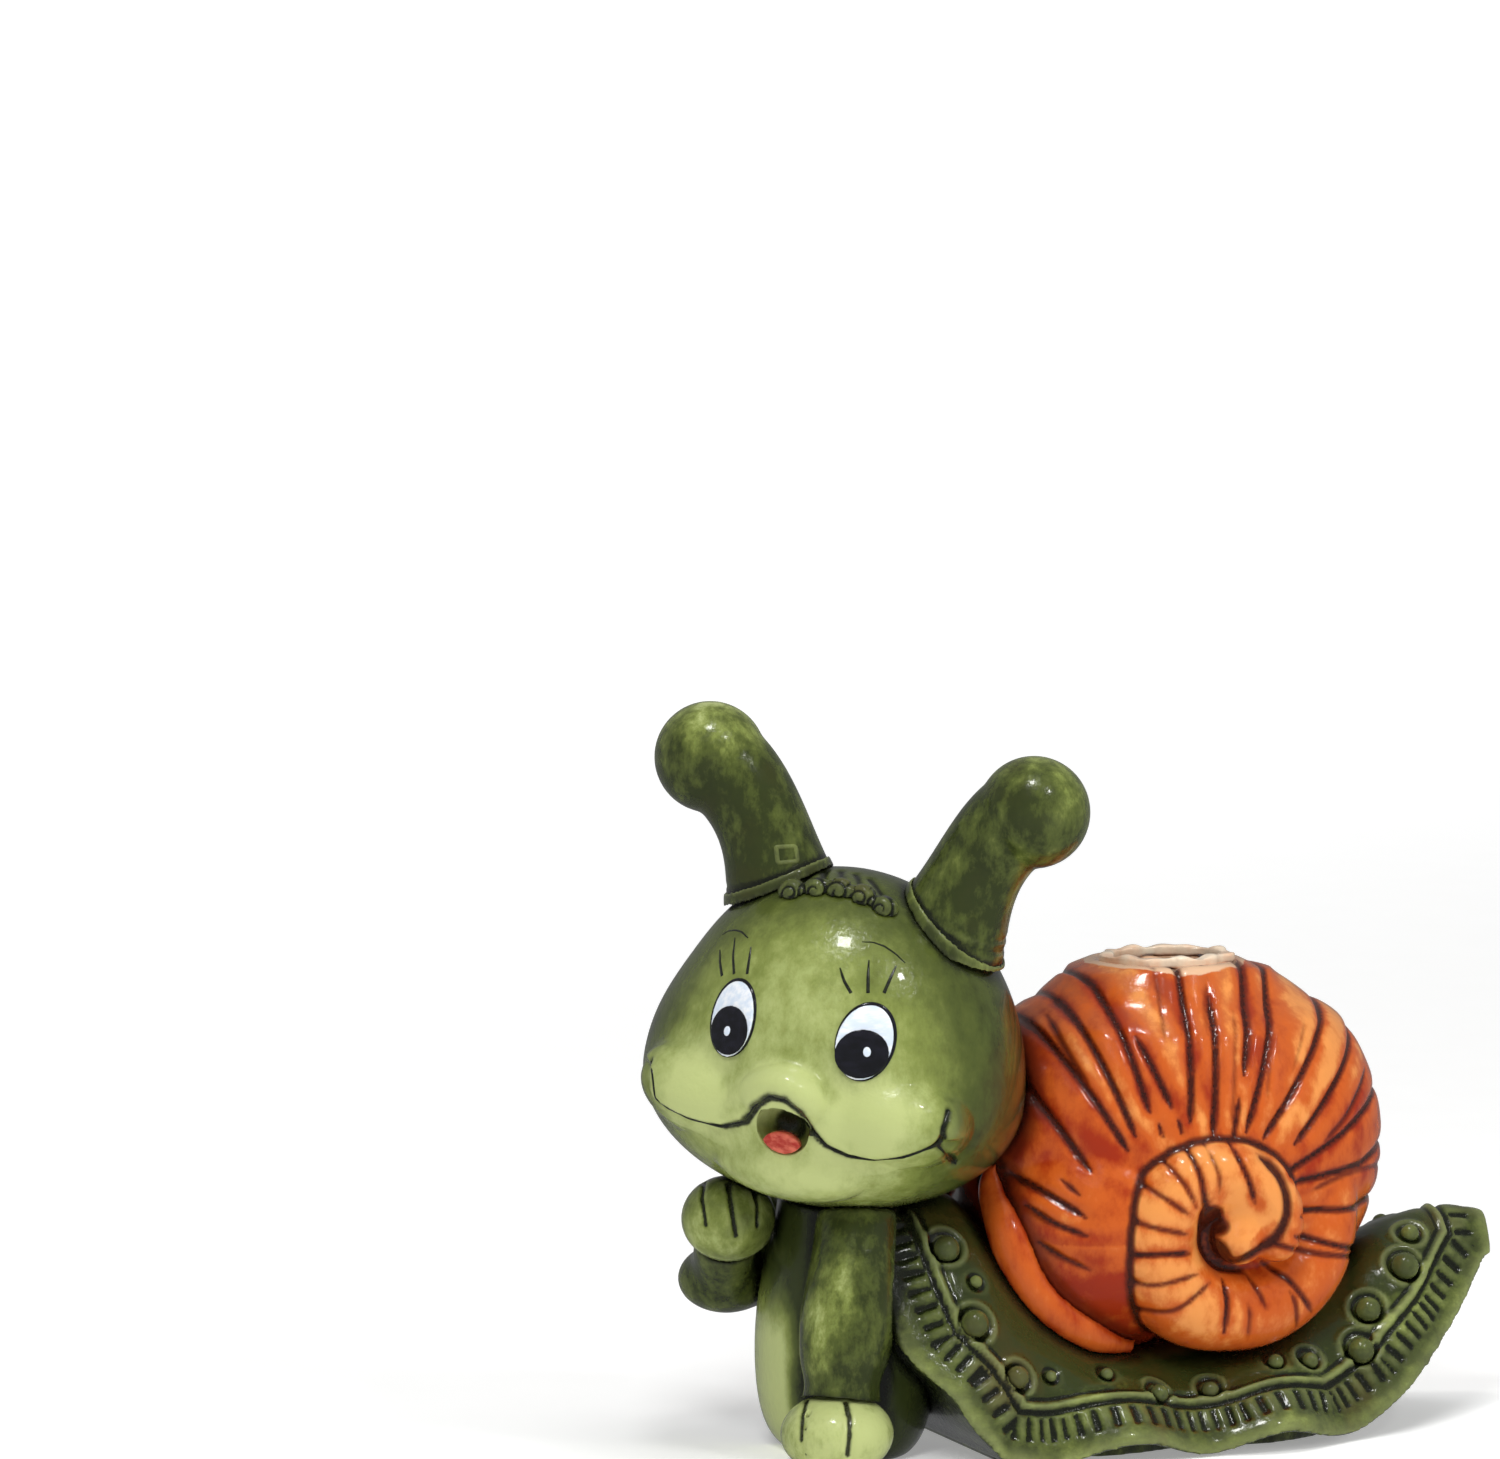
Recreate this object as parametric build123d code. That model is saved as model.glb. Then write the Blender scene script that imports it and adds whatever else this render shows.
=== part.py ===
from build123d import *
import os
from functools import cache
from math import cos, pi, sin

# A glazed ceramic snail planter. Slip-cast hollow pieces and small pressed pieces are luted together
# face to face and fired as one. All lengths are millimetres and +Z is up.
# The snail looks towards -X, its left side is towards -Y and its tail is at +X. Its head is turned
# towards its left side and tips a little towards the shell. Every piece is first placed about the
# upright axis of the torso, and the last step moves the whole snail over the centre of its footprint.

# Shared sizes.
clay_wall = 5.0
cut_overrun = 30.0

# Torso: an upright egg of clay that carries the head.
torso_half_length = 20.0
torso_half_width = 26.0
torso_height = 65.0
# height, half length and half width
torso_section_shares = [
    (0.00, 0.66, 0.80),
    (0.07, 0.86, 0.93),
    (0.25, 1.00, 1.00),
    (0.54, 0.98, 0.95),
    (0.77, 0.85, 0.77),
    (1.00, 0.76, 0.66),
]
vent_radius = 4.0

# Head: one egg with cheeks, muzzle and chin swelling out of its front.
head_half_width = 45.0
head_half_depth = 39.0
head_dome_height = 50.0
head_chin_depth = 29.0
head_lean = 4.4
head_side_shift = 4.0
head_sink = 7.0
head_turn_angle = -37.5
head_roll_angle = 7.5
neck_bore_radius = 9.0
cheek_half_sizes = (20.0, 17.0, 13.0)
cheek_place_shares = (0.44, -0.53, -0.03)
muzzle_half_sizes = (11.0, 9.0, 8.0)
muzzle_place_shares = (0.0, -0.88, 0.04)
chin_half_sizes = (20.0, 13.0, 10.0)
chin_place_shares = (0.0, -0.58, -0.30)
mouth_half_sizes = (5.6, 7.5, 6.2)
mouth_place_shares = (0.0, -0.92, -0.125)
tongue_half_sizes = (4.8, 6.5, 4.0)
tongue_drop_share = 0.75
smile_width = 1.3
smile_depth = 1.1
smile_outline_shares = [
    (0.11, -0.100),
    (0.22, -0.165),
    (0.38, -0.205),
    (0.55, -0.185),
    (0.70, -0.130),
    (0.81, -0.060),
]

# Eyes: thick enamel laid on the face.
eye_half_width = 7.0
eye_half_height = 9.0
eye_thickness = 0.7
eye_place_shares = (0.355, 0.325)
pupil_half_width = 6.0
pupil_half_height = 5.9
pupil_thickness = 0.45
pupil_drop_share = 0.85

# Antennae: flared stalks that end in round knobs.
antenna_foot_shares = (0.42, 0.74)
antenna_reach = 20.5
antenna_rise = 33.0
antenna_lean = 3.0
stalk_radius = 11.0
knob_radius = 13.0
# way along the stalk, reach, rise and radius
antenna_stalk_shares = [
    (0.00, 0.00, 0.00, 1.36),
    (0.35, 0.20, 0.32, 1.08),
    (0.60, 0.40, 0.61, 0.98),
    (0.85, 0.72, 0.88, 1.02),
    (1.00, 1.00, 1.00, 1.05),
]
cuff_thickness = 0.6
cuff_height = 2.4

# Curls: a fringe of pressed pellets on the brow.
curl_count = 5
curl_half_sizes = (3.6, 3.0, 3.2)
fringe_half_width = 11.0
fringe_height_share = 0.93
fringe_droop_share = 0.04

# Shell: a fat hollow disc on edge, with its mouth on top.
shell_half_length = 53.0
shell_half_width = 36.0
shell_half_height = 49.0
shell_bed_height = 19.0
shell_tuck = 13.0
collar_half_sizes = (31.0, 37.0, 34.0)
collar_place_shares = (-0.40, 0.0, -0.33)
mouth_half_length = 13.0
mouth_half_width = 10.5
rim_thickness = 3.6
rim_height = 2.4
rim_seat_share = 0.87
rim_scallop_count = 7
rim_scallop_depth = 1.6

# Grooves: long lines pressed from the middle of each side of the shell outwards.
groove_width = 1.4
groove_depth = 0.9
# distance from the coil's centre in shares of the coil's radius, and angle, at both ends of a line
groove_rows = [
    (1.70, 141, 3.40, 130),
    (1.75, 135, 3.40, 122),
    (1.85, 125, 3.50, 114),
    (1.75, 117, 2.60, 115),
    (1.50, 113, 3.50, 96),
    (1.25, 105, 2.80, 92),
    (1.90, 86, 3.30, 81),
    (1.25, 85, 3.30, 74),
    (1.20, 74, 3.20, 58),
    (1.30, 54, 3.00, 48),
    (1.90, 36, 2.90, 33),
    (1.95, 21, 2.80, 20),
    (1.85, 6, 2.60, 6),
    (1.80, -10, 2.50, -12),
    (1.95, 154, 3.10, 141),
    (1.90, 170, 2.60, 163),
]

# Coil: the inner whorl that stands out of each side of the shell.
coil_radius = 20.0
coil_tube_radius = 12.0
coil_centre_shares = (0.07, -0.37)
coil_start_angle = 395.0
coil_turn_angle = 395.0
coil_ring_count = 20
coil_bud_radius = 6.4
coil_bud_crest_share = 1.17
# way along, distance from the coil's centre, tube radius, and crest as a share of the shell's half width
coil_shares = [
    (0.00, 1.40, 1.05, 0.76),
    (0.09, 1.24, 0.96, 0.84),
    (0.165, 1.12, 0.90, 0.91),
    (0.24, 0.98, 0.86, 0.97),
    (0.32, 0.89, 0.84, 1.02),
    (0.43, 0.92, 0.88, 1.08),
    (0.545, 0.98, 0.92, 1.12),
    (0.66, 0.88, 0.84, 1.15),
    (0.77, 0.72, 0.72, 1.17),
    (0.885, 0.58, 0.60, 1.18),
    (1.00, 0.46, 0.50, 1.17),
]

# Lip: the rolled edge of the shell's front, one strip on each side.
lip_radius = 5.5
# along and up on the collar of the shell, and radius
lip_shares = [
    (-0.84, 0.42, 0.55),
    (-0.88, 0.14, 0.80),
    (-0.80, -0.16, 1.00),
    (-0.66, -0.42, 1.00),
    (-0.45, -0.60, 0.95),
    (-0.18, -0.74, 0.80),
    (0.10, -0.82, 0.55),
]

# Mantle: the frilled cape that runs from the neck over the body to the raised tail.
mantle_length = 166.0
mantle_half_width = 45.0
mantle_height = 60.0
mantle_start_share = 0.2
mantle_ring_count = 20
# way along, crest height, half width and hem height
mantle_section_shares = [
    (0.000, 1.10, 0.89, 0.01),
    (0.060, 1.08, 0.93, 0.01),
    (0.115, 1.05, 0.96, 0.01),
    (0.175, 0.98, 0.98, 0.01),
    (0.235, 0.80, 1.00, 0.01),
    (0.295, 0.60, 1.00, 0.01),
    (0.355, 0.47, 1.00, 0.01),
    (0.536, 0.42, 0.97, 0.01),
    (0.687, 0.54, 0.85, 0.02),
    (0.807, 0.73, 0.62, 0.12),
    (0.898, 0.81, 0.40, 0.34),
    (0.965, 0.82, 0.22, 0.54),
    (1.000, 0.79, 0.12, 0.62),
]
# across and up, from the hem to the crest
mantle_outline_shares = [(1.00, 0.00), (0.98, 0.10), (0.87, 0.36), (0.68, 0.63), (0.40, 0.89), (0.00, 1.00)]
# way along and up, for the edge of the cape in front
mantle_front_shares = [
    (0.180, -0.10),
    (0.145, 0.09),
    (0.124, 0.15),
    (0.095, 0.28),
    (0.045, 0.42),
    (0.022, 0.64),
    (0.003, 0.90),
    (-0.004, 1.20),
]
hem_wave_length = 40.0
hem_wave_start_share = -0.22
hem_wave_reach = 2.4
hem_wave_rise = 4.6
hem_wall = 16.0
# line pressed along the border, well above the hem
border_height = 12.4
border_width = 1.3
border_depth = 0.8
border_start_share = 0.02
border_end_share = 0.98
# way along, crest height and half width of the hollow under the mantle
mantle_hollow_shares = [
    (0.22, 0.30, 0.84),
    (0.36, 0.22, 0.98),
    (0.54, 0.22, 0.96),
    (0.66, 0.27, 0.78),
]
bead_radius = 3.2
# way along, way up the outline and radius
bead_shares = [
    (0.120, 0.78, 1.00),
    (0.155, 0.68, 0.50),
    (0.140, 0.52, 1.05),
    (0.195, 0.36, 0.85),
    (0.250, 0.44, 0.45),
    (0.340, 0.60, 0.50),
    (0.415, 0.50, 0.70),
    (0.500, 0.54, 0.65),
    (0.605, 0.64, 0.60),
    (0.660, 0.58, 0.65),
    (0.745, 0.48, 1.00),
    (0.770, 0.66, 0.95),
    (0.840, 0.74, 1.05),
    (0.865, 0.90, 0.70),
]

# Sole: the flat foot under the mantle.
sole_height = 6.0
sole_inset = 14.0
sole_reach_shares = (0.18, 0.70)
sole_point_count = 8

# Arms: the left one is planted on the ground, the right one holds its hand under the chin.
arm_radius = 10.6
# along, across, up and radius
arm_left_shares = [
    (-0.10, -0.50, 0.92, 0.92),
    (-0.25, -0.76, 0.72, 0.97),
    (-0.42, -0.92, 0.46, 1.00),
    (-0.55, -1.00, 0.20, 0.98),
]
paw_half_sizes = (14.0, 13.0, 9.5)
paw_place_shares = (-0.60, -1.04)
paw_flat_depth = 1.2
arm_right_shares = [
    (-0.20, 0.75, 0.80, 0.90),
    (-0.60, 0.95, 0.66, 0.92),
    (-0.95, 0.88, 0.57, 0.88),
]
forearm_shares = [
    (-1.05, 0.88, 0.56, 0.80),
    (-1.25, 0.50, 0.70, 0.72),
    (-1.35, 0.25, 0.82, 0.72),
]
elbow_half_sizes = (12.0, 11.0, 8.5)
elbow_place_shares = (-1.05, 0.88, 0.58)
hand_half_sizes = (11.0, 11.0, 10.0)
hand_place_shares = (-1.35, 0.19, 0.84)
toe_line_width = 0.9
toe_line_depth = 2.2
toe_line_shares = (-0.36, 0.30)

# Places that several pieces share.
head_x = -head_lean
head_y = -head_side_shift
head_z = torso_height - head_sink + head_chin_depth
head_place = Pos(head_x, head_y, head_z) * Rot(0, 0, head_turn_angle) * Rot(0, head_roll_angle, 0)
shell_x = head_x + head_half_width - shell_tuck + shell_half_length
shell_z = shell_bed_height + shell_half_height
mantle_x = -torso_half_length * mantle_start_share


def ellipsoid(half_x, half_y, half_z, pole_angle=0):
    """A closed ellipsoid about the origin, whose poles are tipped from the upright towards the front."""
    return scale(Rot(pole_angle, 0, 0) * Sphere(1), by=(half_x, half_y, half_z))


def smooth(rows, share):
    """The later columns of a table at any value of its first column, as a curve through its rows."""
    i = max(k for k in range(len(rows) - 1) if rows[k][0] <= share or k == 0)
    before, low, high, after = rows[max(i - 1, 0)], rows[i], rows[i + 1], rows[min(i + 2, len(rows) - 1)]
    span = high[0] - low[0]
    t = (share - low[0]) / span
    values = []
    for a, b, c, d in zip(before[1:], low[1:], high[1:], after[1:]):
        slope_low = (c - a) / (high[0] - before[0]) * span
        slope_high = (d - b) / (after[0] - low[0]) * span
        rise = b * (2 * t**3 - 3 * t**2 + 1) + c * (3 * t**2 - 2 * t**3)
        values.append(rise + slope_low * (t**3 - 2 * t**2 + t) + slope_high * (t**3 - t**2))
    return values


def horn(stations, steady_axis=(0, 1, 0)):
    """A round tube through stations of (x, y, z, radius), each ring square to the way along."""
    spots = [Vector(*station[:3]) for station in stations]
    rings = []
    for i, station in enumerate(stations):
        ahead = (spots[min(i + 1, len(spots) - 1)] - spots[max(i - 1, 0)]).normalized()
        across = Vector(*steady_axis).cross(ahead).normalized()
        rings.append(Plane(origin=spots[i], x_dir=across, z_dir=ahead) * Circle(station[3]))
    return loft(rings)


def scaled_rows(rows, *sizes):
    """Each row of a table of shares, with each column multiplied by its own size."""
    return [tuple(share * size for share, size in zip(row, sizes)) for row in rows]


# Head.
def on_head(shares):
    """A place in the head's own frame, given in shares of its half width, half depth and dome."""
    return Pos(*scaled_rows([shares], head_half_width, head_half_depth, head_dome_height)[0])


def head_egg(grow):
    """The plain egg of the head in its own frame, grown by a thickness."""
    wide = head_half_width + grow
    dome = EllipticalCenterArc((0, 0), wide, head_dome_height + grow, start_angle=0, arc_size=90)
    jaw = EllipticalCenterArc((0, 0), wide, head_chin_depth + grow, start_angle=-90, arc_size=90)
    outline = make_face(Curve() + [jaw, dome, Line(dome @ 1, jaw @ 0)])
    return scale(revolve(Plane.XZ * outline, Axis.Z), by=(1, (head_half_depth + grow) / wide, 1))


@cache
def head_form(grow=0.0):
    """The outside of the head in its own frame, with its face towards -Y, grown by a thickness."""
    form = head_egg(grow)
    for side in (-1, 1):
        cheek_place = (side * cheek_place_shares[0], *cheek_place_shares[1:])
        form += on_head(cheek_place) * ellipsoid(*(size + grow for size in cheek_half_sizes))
    form += on_head(chin_place_shares) * ellipsoid(*(size + grow for size in chin_half_sizes))
    form += on_head(muzzle_place_shares) * ellipsoid(*(size + grow for size in muzzle_half_sizes))
    return form


def face_layer(outline, low, high):
    """A flat outline in the face's X and Z, laid over the front of the head between two levels."""
    block = extrude(Plane.XZ * outline, amount=head_half_depth + cut_overrun)
    return (block & head_form(high)) - head_form(low)


@cache
def mouth_hollow(grow=0.0):
    """The open mouth, in the head's own frame, grown by a thickness. Its poles lie deep in the mouth."""
    half_sizes = [size + grow for size in mouth_half_sizes]
    return on_head(mouth_place_shares) * ellipsoid(*half_sizes, pole_angle=90)


def make_head():
    """The hollow head, with its mouth, its smile line and the bore for the neck."""
    head = head_form() - (head_egg(-clay_wall) - mouth_hollow(clay_wall)) - mouth_hollow()
    points = scaled_rows(smile_outline_shares, head_half_width, head_dome_height)
    for side in (-1, 1):
        line = Spline(*[(side * x, z) for x, z in points])
        head -= face_layer(trace(line, smile_width), -smile_depth, 0.0)
    neck_bore = Pos(0, 0, head_z - head_chin_depth) * Cylinder(neck_bore_radius, 2 * clay_wall + head_sink)
    return head_place * head - neck_bore


def make_tongue():
    """The tongue, which fills the floor of the mouth."""
    drop = Pos(0, 0, -tongue_drop_share * mouth_half_sizes[2])
    blob = drop * on_head(mouth_place_shares) * ellipsoid(*tongue_half_sizes)
    return head_place * (blob & mouth_hollow() & head_form())


def make_eye(side):
    """The white of one eye, as a thick coat of enamel on the head."""
    oval = Pos(side * eye_place_shares[0] * head_half_width, eye_place_shares[1] * head_dome_height)
    return head_place * face_layer(oval * Ellipse(eye_half_width, eye_half_height), 0.0, eye_thickness)


def make_pupil(side):
    """The black pupil, a second coat of enamel low on the white."""
    drop = pupil_drop_share * (eye_half_height - pupil_half_height)
    spot = Pos(side * eye_place_shares[0] * head_half_width, eye_place_shares[1] * head_dome_height - drop)
    coat = face_layer(spot * Ellipse(pupil_half_width, pupil_half_height), eye_thickness,
                      eye_thickness + pupil_thickness)
    return head_place * coat


# Antennae and curls, in the head's own frame.
def antenna_station(side, along, grow=0.0):
    """A point on an antenna's centre line, and its radius there."""
    reach, rise, radius = smooth(antenna_stalk_shares, along)
    x = side * (antenna_foot_shares[0] * head_half_width + reach * antenna_reach)
    x += antenna_lean * (1 - reach)
    z = antenna_foot_shares[1] * head_dome_height + rise * antenna_rise
    return (x, 0.0, z, radius * stalk_radius + grow)


@cache
def antenna_form(side, grow=0.0):
    """The outside of a stalk and its knob."""
    stalk = horn([antenna_station(side, row[0], grow) for row in antenna_stalk_shares])
    tip = antenna_station(side, 1.0)
    return stalk + Pos(*tip[:3]) * Sphere(knob_radius + grow)


def make_antenna(side):
    """A hollow antenna, cut to sit on the head."""
    return head_place * (antenna_form(side) - antenna_form(side, -clay_wall) - head_form())


def make_cuff(side):
    """The raised band where the foot of an antenna meets the head."""
    band = antenna_form(side, cuff_thickness) & head_form(cuff_height)
    return head_place * (band - antenna_form(side) - head_form())


def make_curls():
    """The fringe of curls along the brow between the antennae."""
    curls = []
    for i in range(curl_count):
        share = 2 * i / (curl_count - 1) - 1
        x = share * fringe_half_width
        z = (fringe_height_share - fringe_droop_share * share**2) * head_dome_height
        lean = (1 - (x / head_half_width) ** 2 - (z / head_dome_height) ** 2) ** 0.5
        curl = Pos(x, -lean * head_half_depth, z) * ellipsoid(*curl_half_sizes)
        curls.append(head_place * (curl - head_form()))
    return Compound(curls)


# Shell.
@cache
def shell_form(grow=0.0):
    """The outside of the shell, a fat disc with a fuller collar in front, grown by a thickness."""
    disc = ellipsoid(shell_half_length + grow, shell_half_width + grow, shell_half_height + grow)
    collar = ellipsoid(*(size + grow for size in collar_half_sizes))
    x, y, z = scaled_rows([collar_place_shares], shell_half_length, shell_half_width, shell_half_height)[0]
    return Pos(shell_x, 0, shell_z) * (disc + Pos(x, y, z) * collar)


def rim_outline():
    """The wavy outside edge of the rim."""
    points = []
    point_count = 4 * rim_scallop_count
    for i in range(point_count):
        turn = 2 * pi * i / point_count
        out = rim_thickness - rim_scallop_depth * (1 + cos(rim_scallop_count * turn)) / 2
        points.append(((mouth_half_length + out) * cos(turn), (mouth_half_width + out) * sin(turn)))
    return make_face(Spline(*points, periodic=True))


@cache
def mouth_prism():
    """The straight bore of the shell's mouth."""
    tall = shell_half_height + cut_overrun
    return Pos(shell_x, 0, shell_z) * extrude(Ellipse(mouth_half_length, mouth_half_width), amount=tall)


rim_base = shell_z + rim_seat_share * shell_half_height


def coil_centre():
    """The middle of the coil, seen along the shell's axle."""
    x, _, z = scaled_rows([(coil_centre_shares[0], 0, coil_centre_shares[1])], shell_half_length, 0,
                          shell_half_height)[0]
    return Vector(shell_x + x, 0, shell_z + z)


def shell_grooves():
    """Blades that press every line into both sides of the shell."""
    blades = []
    for near, near_angle, far, far_angle in groove_rows:
        ends = []
        for distance, angle in ((near, near_angle), (far, far_angle)):
            turn = angle * pi / 180
            ends.append(coil_centre() + Vector(cos(turn), 0, sin(turn)) * distance * coil_radius)
        way = ends[1] - ends[0]
        place = Plane(origin=(ends[0] + ends[1]) / 2, x_dir=way, z_dir=(0, 1, 0))
        blades.append(place * Box(way.length, groove_width, 4 * shell_half_width))
    return Compound(blades) - shell_form(-groove_depth)


def make_shell_pot():
    """The hollow pot of the shell, open on top, with the lines pressed into its sides."""
    above = Pos(shell_x, 0, rim_base + shell_half_height) * Box(
        2 * shell_half_length, 2 * shell_half_width, 2 * shell_half_height)
    pot = shell_form() - shell_form(-clay_wall) - mouth_prism() - above
    return pot - head_place * head_form() - shell_grooves()


def make_rim():
    """The pale scalloped rim that is luted round the mouth."""
    collar = Pos(shell_x, 0, rim_base) * extrude(rim_outline(), amount=rim_height)
    return collar - mouth_prism()


def coil_form():
    """The inner whorl on the right side of the shell."""
    centre = coil_centre()
    stations = []
    for i in range(coil_ring_count + 1):
        along = i / coil_ring_count
        distance, tube, crest = smooth(coil_shares, along)
        turn = (coil_start_angle - along * coil_turn_angle) * pi / 180
        x = centre.X + distance * coil_radius * cos(turn)
        z = centre.Z + distance * coil_radius * sin(turn)
        radius = tube * coil_tube_radius
        stations.append((x, crest * shell_half_width - radius, z, radius))
    tip = stations[-1]
    bud_y = coil_bud_crest_share * shell_half_width - coil_bud_radius
    bud = Pos(centre.X, bud_y, centre.Z) * Sphere(coil_bud_radius)
    return horn(stations) + Pos(*tip[:3]) * Sphere(tip[3]) + bud


@cache
def make_coil(side):
    """A coil, cut to sit on the pot's side; the left one mirrors the right one."""
    coil = coil_form() - shell_form()
    return coil if side > 0 else mirror(coil, about=Plane.XZ)


def make_lip(side):
    """The rolled strip along the front of one side of the shell."""
    centre_x, _, centre_z = scaled_rows([collar_place_shares], shell_half_length, 0, shell_half_height)[0]
    stations = []
    for along, up, radius in lip_shares:
        x = shell_x + centre_x + along * collar_half_sizes[0]
        y = side * (1 - along**2 - up**2) ** 0.5 * collar_half_sizes[1]
        z = shell_z + centre_z + up * collar_half_sizes[2]
        stations.append((x, y, z, radius * lip_radius))
    return horn(stations) - shell_form() - head_place * head_form() - mantle_form()


# Mantle.
def mantle_row(along):
    """Place along, crest height, half width and hem height of the mantle, with the hem's waves."""
    crest, half_width, hem = smooth(mantle_section_shares, along)
    wave = 2 * pi * (along * mantle_length / hem_wave_length + hem_wave_start_share)
    fade = sin(pi * along)
    half_width = half_width * mantle_half_width + fade * hem_wave_reach * sin(wave)
    hem = hem * mantle_height + fade * hem_wave_rise * (1 + sin(wave)) / 2
    return (mantle_x + along * mantle_length, crest * mantle_height, half_width, hem)


def arch_section(x, crest, half_width, hem):
    """A bell-shaped cross-section that stands on the hem's level."""
    right = [(across * half_width, hem + up * (crest - hem)) for across, up in mantle_outline_shares]
    left = [(-y, z) for y, z in reversed(right[:-1])]
    bell = Spline(*(right + left))
    face = make_face(Curve() + [bell, Line(bell @ 1, bell @ 0)])
    return Plane(origin=(x, 0, 0), x_dir=(0, 1, 0), z_dir=(1, 0, 0)) * face


@cache
def mantle_form(grow=0.0):
    """The outside of the mantle, grown by a thickness, before its front is trimmed."""
    sections = []
    for i in range(mantle_ring_count + 1):
        x, crest, half_width, hem = mantle_row(i / mantle_ring_count)
        sections.append(arch_section(x, crest + grow, half_width + grow, hem))
    return loft(sections)


def border_groove():
    """The line pressed along both borders of the mantle, level with the waves of the hem."""
    points = []
    for i in range(mantle_ring_count + 1):
        share = i / mantle_ring_count
        x, _, _, hem = mantle_row(border_start_share + share * (border_end_share - border_start_share))
        points.append((x, hem + border_height))
    line = trace(Spline(*points), border_width)
    band = extrude(Plane.XZ * line, amount=2 * mantle_half_width, both=True)
    return (band & mantle_form()) - mantle_form(-border_depth)


@cache
def mantle_front():
    """Everything in front of the cape's front edge."""
    points = [(mantle_x + along * mantle_length, up * mantle_height) for along, up in mantle_front_shares]
    edge = Spline(*points)
    far = mantle_x - cut_overrun
    rest = Polyline(edge @ 1, (far, (edge @ 1).Y), (far, (edge @ 0).Y), edge @ 0)
    side = make_face(Curve() + [edge, rest])
    return extrude(Plane.XZ * side, amount=2 * mantle_half_width, both=True)


def make_mantle():
    """The hollow cape, cut round its neighbours, with its border line and a socket for each bead."""
    sizes = (mantle_length, mantle_height, mantle_half_width - hem_wall)
    hollow_rows = scaled_rows(mantle_hollow_shares, *sizes)
    hollow = loft([arch_section(mantle_x + x, crest, width, 0.0) for x, crest, width in hollow_rows])
    neighbours = [shell_form(), torso_form(), head_place * head_form(), sole_form()]
    mantle = mantle_form() - [mantle_front(), hollow, *neighbours]
    return mantle - border_groove() - [make_beads(), make_coil(-1), make_coil(1)]


def mantle_point(along, up, side):
    """A point on the outside of the mantle."""
    x, crest, half_width, hem = mantle_row(along)
    across = smooth([(z, y) for y, z in mantle_outline_shares], up)[0]
    return (x, side * across * half_width, hem + up * (crest - hem))


@cache
def make_beads():
    """The beads of clay pressed into the mantle inside its border, alike on both sides."""
    beads = []
    for along, up, size in bead_shares:
        for side in (-1, 1):
            beads.append(Pos(*mantle_point(along, up, side)) * Sphere(size * bead_radius))
    return Compound(beads)


# Torso and sole.
@cache
def torso_form(grow=0.0):
    """The outside of the torso, grown by a thickness at its sides."""
    rows = scaled_rows(torso_section_shares, torso_height, torso_half_length, torso_half_width)
    rings = [Pos(0, 0, z) * Ellipse(half_y + grow, half_x + grow, rotation=90) for z, half_x, half_y in rows]
    return loft(rings)


def make_torso():
    """The hollow torso with its belly, its neck bore and the vent in its base."""
    room_height = torso_height - head_sink - 2 * clay_wall
    room = Pos(0, 0, clay_wall + room_height / 2) * Cylinder(2 * torso_half_width, room_height)
    room &= torso_form(-clay_wall)
    neck_bore = Pos(0, 0, torso_height) * Cylinder(neck_bore_radius, 2 * (2 * clay_wall + head_sink))
    vent = Cylinder(vent_radius, 2 * cut_overrun)
    return torso_form() - room - head_place * head_form() - neck_bore - vent


@cache
def sole_form():
    """The flat slab under the mantle, inset from its hem."""
    start, end = sole_reach_shares
    edge = []
    for i in range(sole_point_count):
        along = start + (end - start) * i / (sole_point_count - 1)
        x, crest, half_width, hem = mantle_row(along)
        edge.append((x, half_width - sole_inset))
    near = Spline(*[(x, -y) for x, y in edge])
    far = Spline(*edge)
    outline = Curve() + [near, far, Line(near @ 0, far @ 0), Line(near @ 1, far @ 1)]
    return extrude(make_face(outline), amount=sole_height)


def make_sole():
    """The foot, cut round the torso, with a vent into the hollow above it."""
    vent = Pos(shell_x, 0, 0) * Cylinder(vent_radius, 2 * cut_overrun)
    return sole_form() - torso_form() - vent


# Arms.
def on_torso(rows):
    """Stations in shares of the torso's half length, half width and height, and of the arm's radius."""
    return scaled_rows(rows, torso_half_length, torso_half_width, torso_height, arm_radius)


@cache
def body_forms():
    """All that the arms are cut round."""
    cape = mantle_form() - mantle_front()
    return torso_form() + head_place * head_form() + cape + sole_form()


def toe_lines(half_sizes):
    """Thin upright blades that press the lines between the toes, in the paw's own frame."""
    long, wide, tall = half_sizes
    blades = []
    for share in toe_line_shares:
        blade = Pos(0, share * wide, 0) * Box(2 * long, toe_line_width, 2 * tall)
        blades.append(blade - ellipsoid(long - toe_line_depth, wide, tall - toe_line_depth))
    front = Pos(-long, 0, 0) * Box(long, 2 * wide, 2 * tall)
    return Compound(blades) & front


def paw_place():
    """The centre of the planted paw."""
    x = paw_place_shares[0] * torso_half_length
    y = paw_place_shares[1] * torso_half_width
    return Pos(x, y, paw_half_sizes[2] - paw_flat_depth) * Rot(0, 0, head_turn_angle + 90)


@cache
def paw_form():
    """The outside of the planted paw, flat where it stands."""
    long, wide, tall = paw_half_sizes
    middle = paw_place().position
    ground = Pos(middle.X, middle.Y, -tall) * Box(4 * long, 4 * wide, 2 * tall)
    return paw_place() * ellipsoid(*paw_half_sizes) - ground


def make_paw():
    """The planted paw with its toe lines."""
    return paw_form() - paw_place() * toe_lines(paw_half_sizes) - body_forms()


def make_arm_left():
    """The planted arm between the shoulder and the paw."""
    return horn(on_torso(arm_left_shares)) - paw_form() - body_forms()


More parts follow.
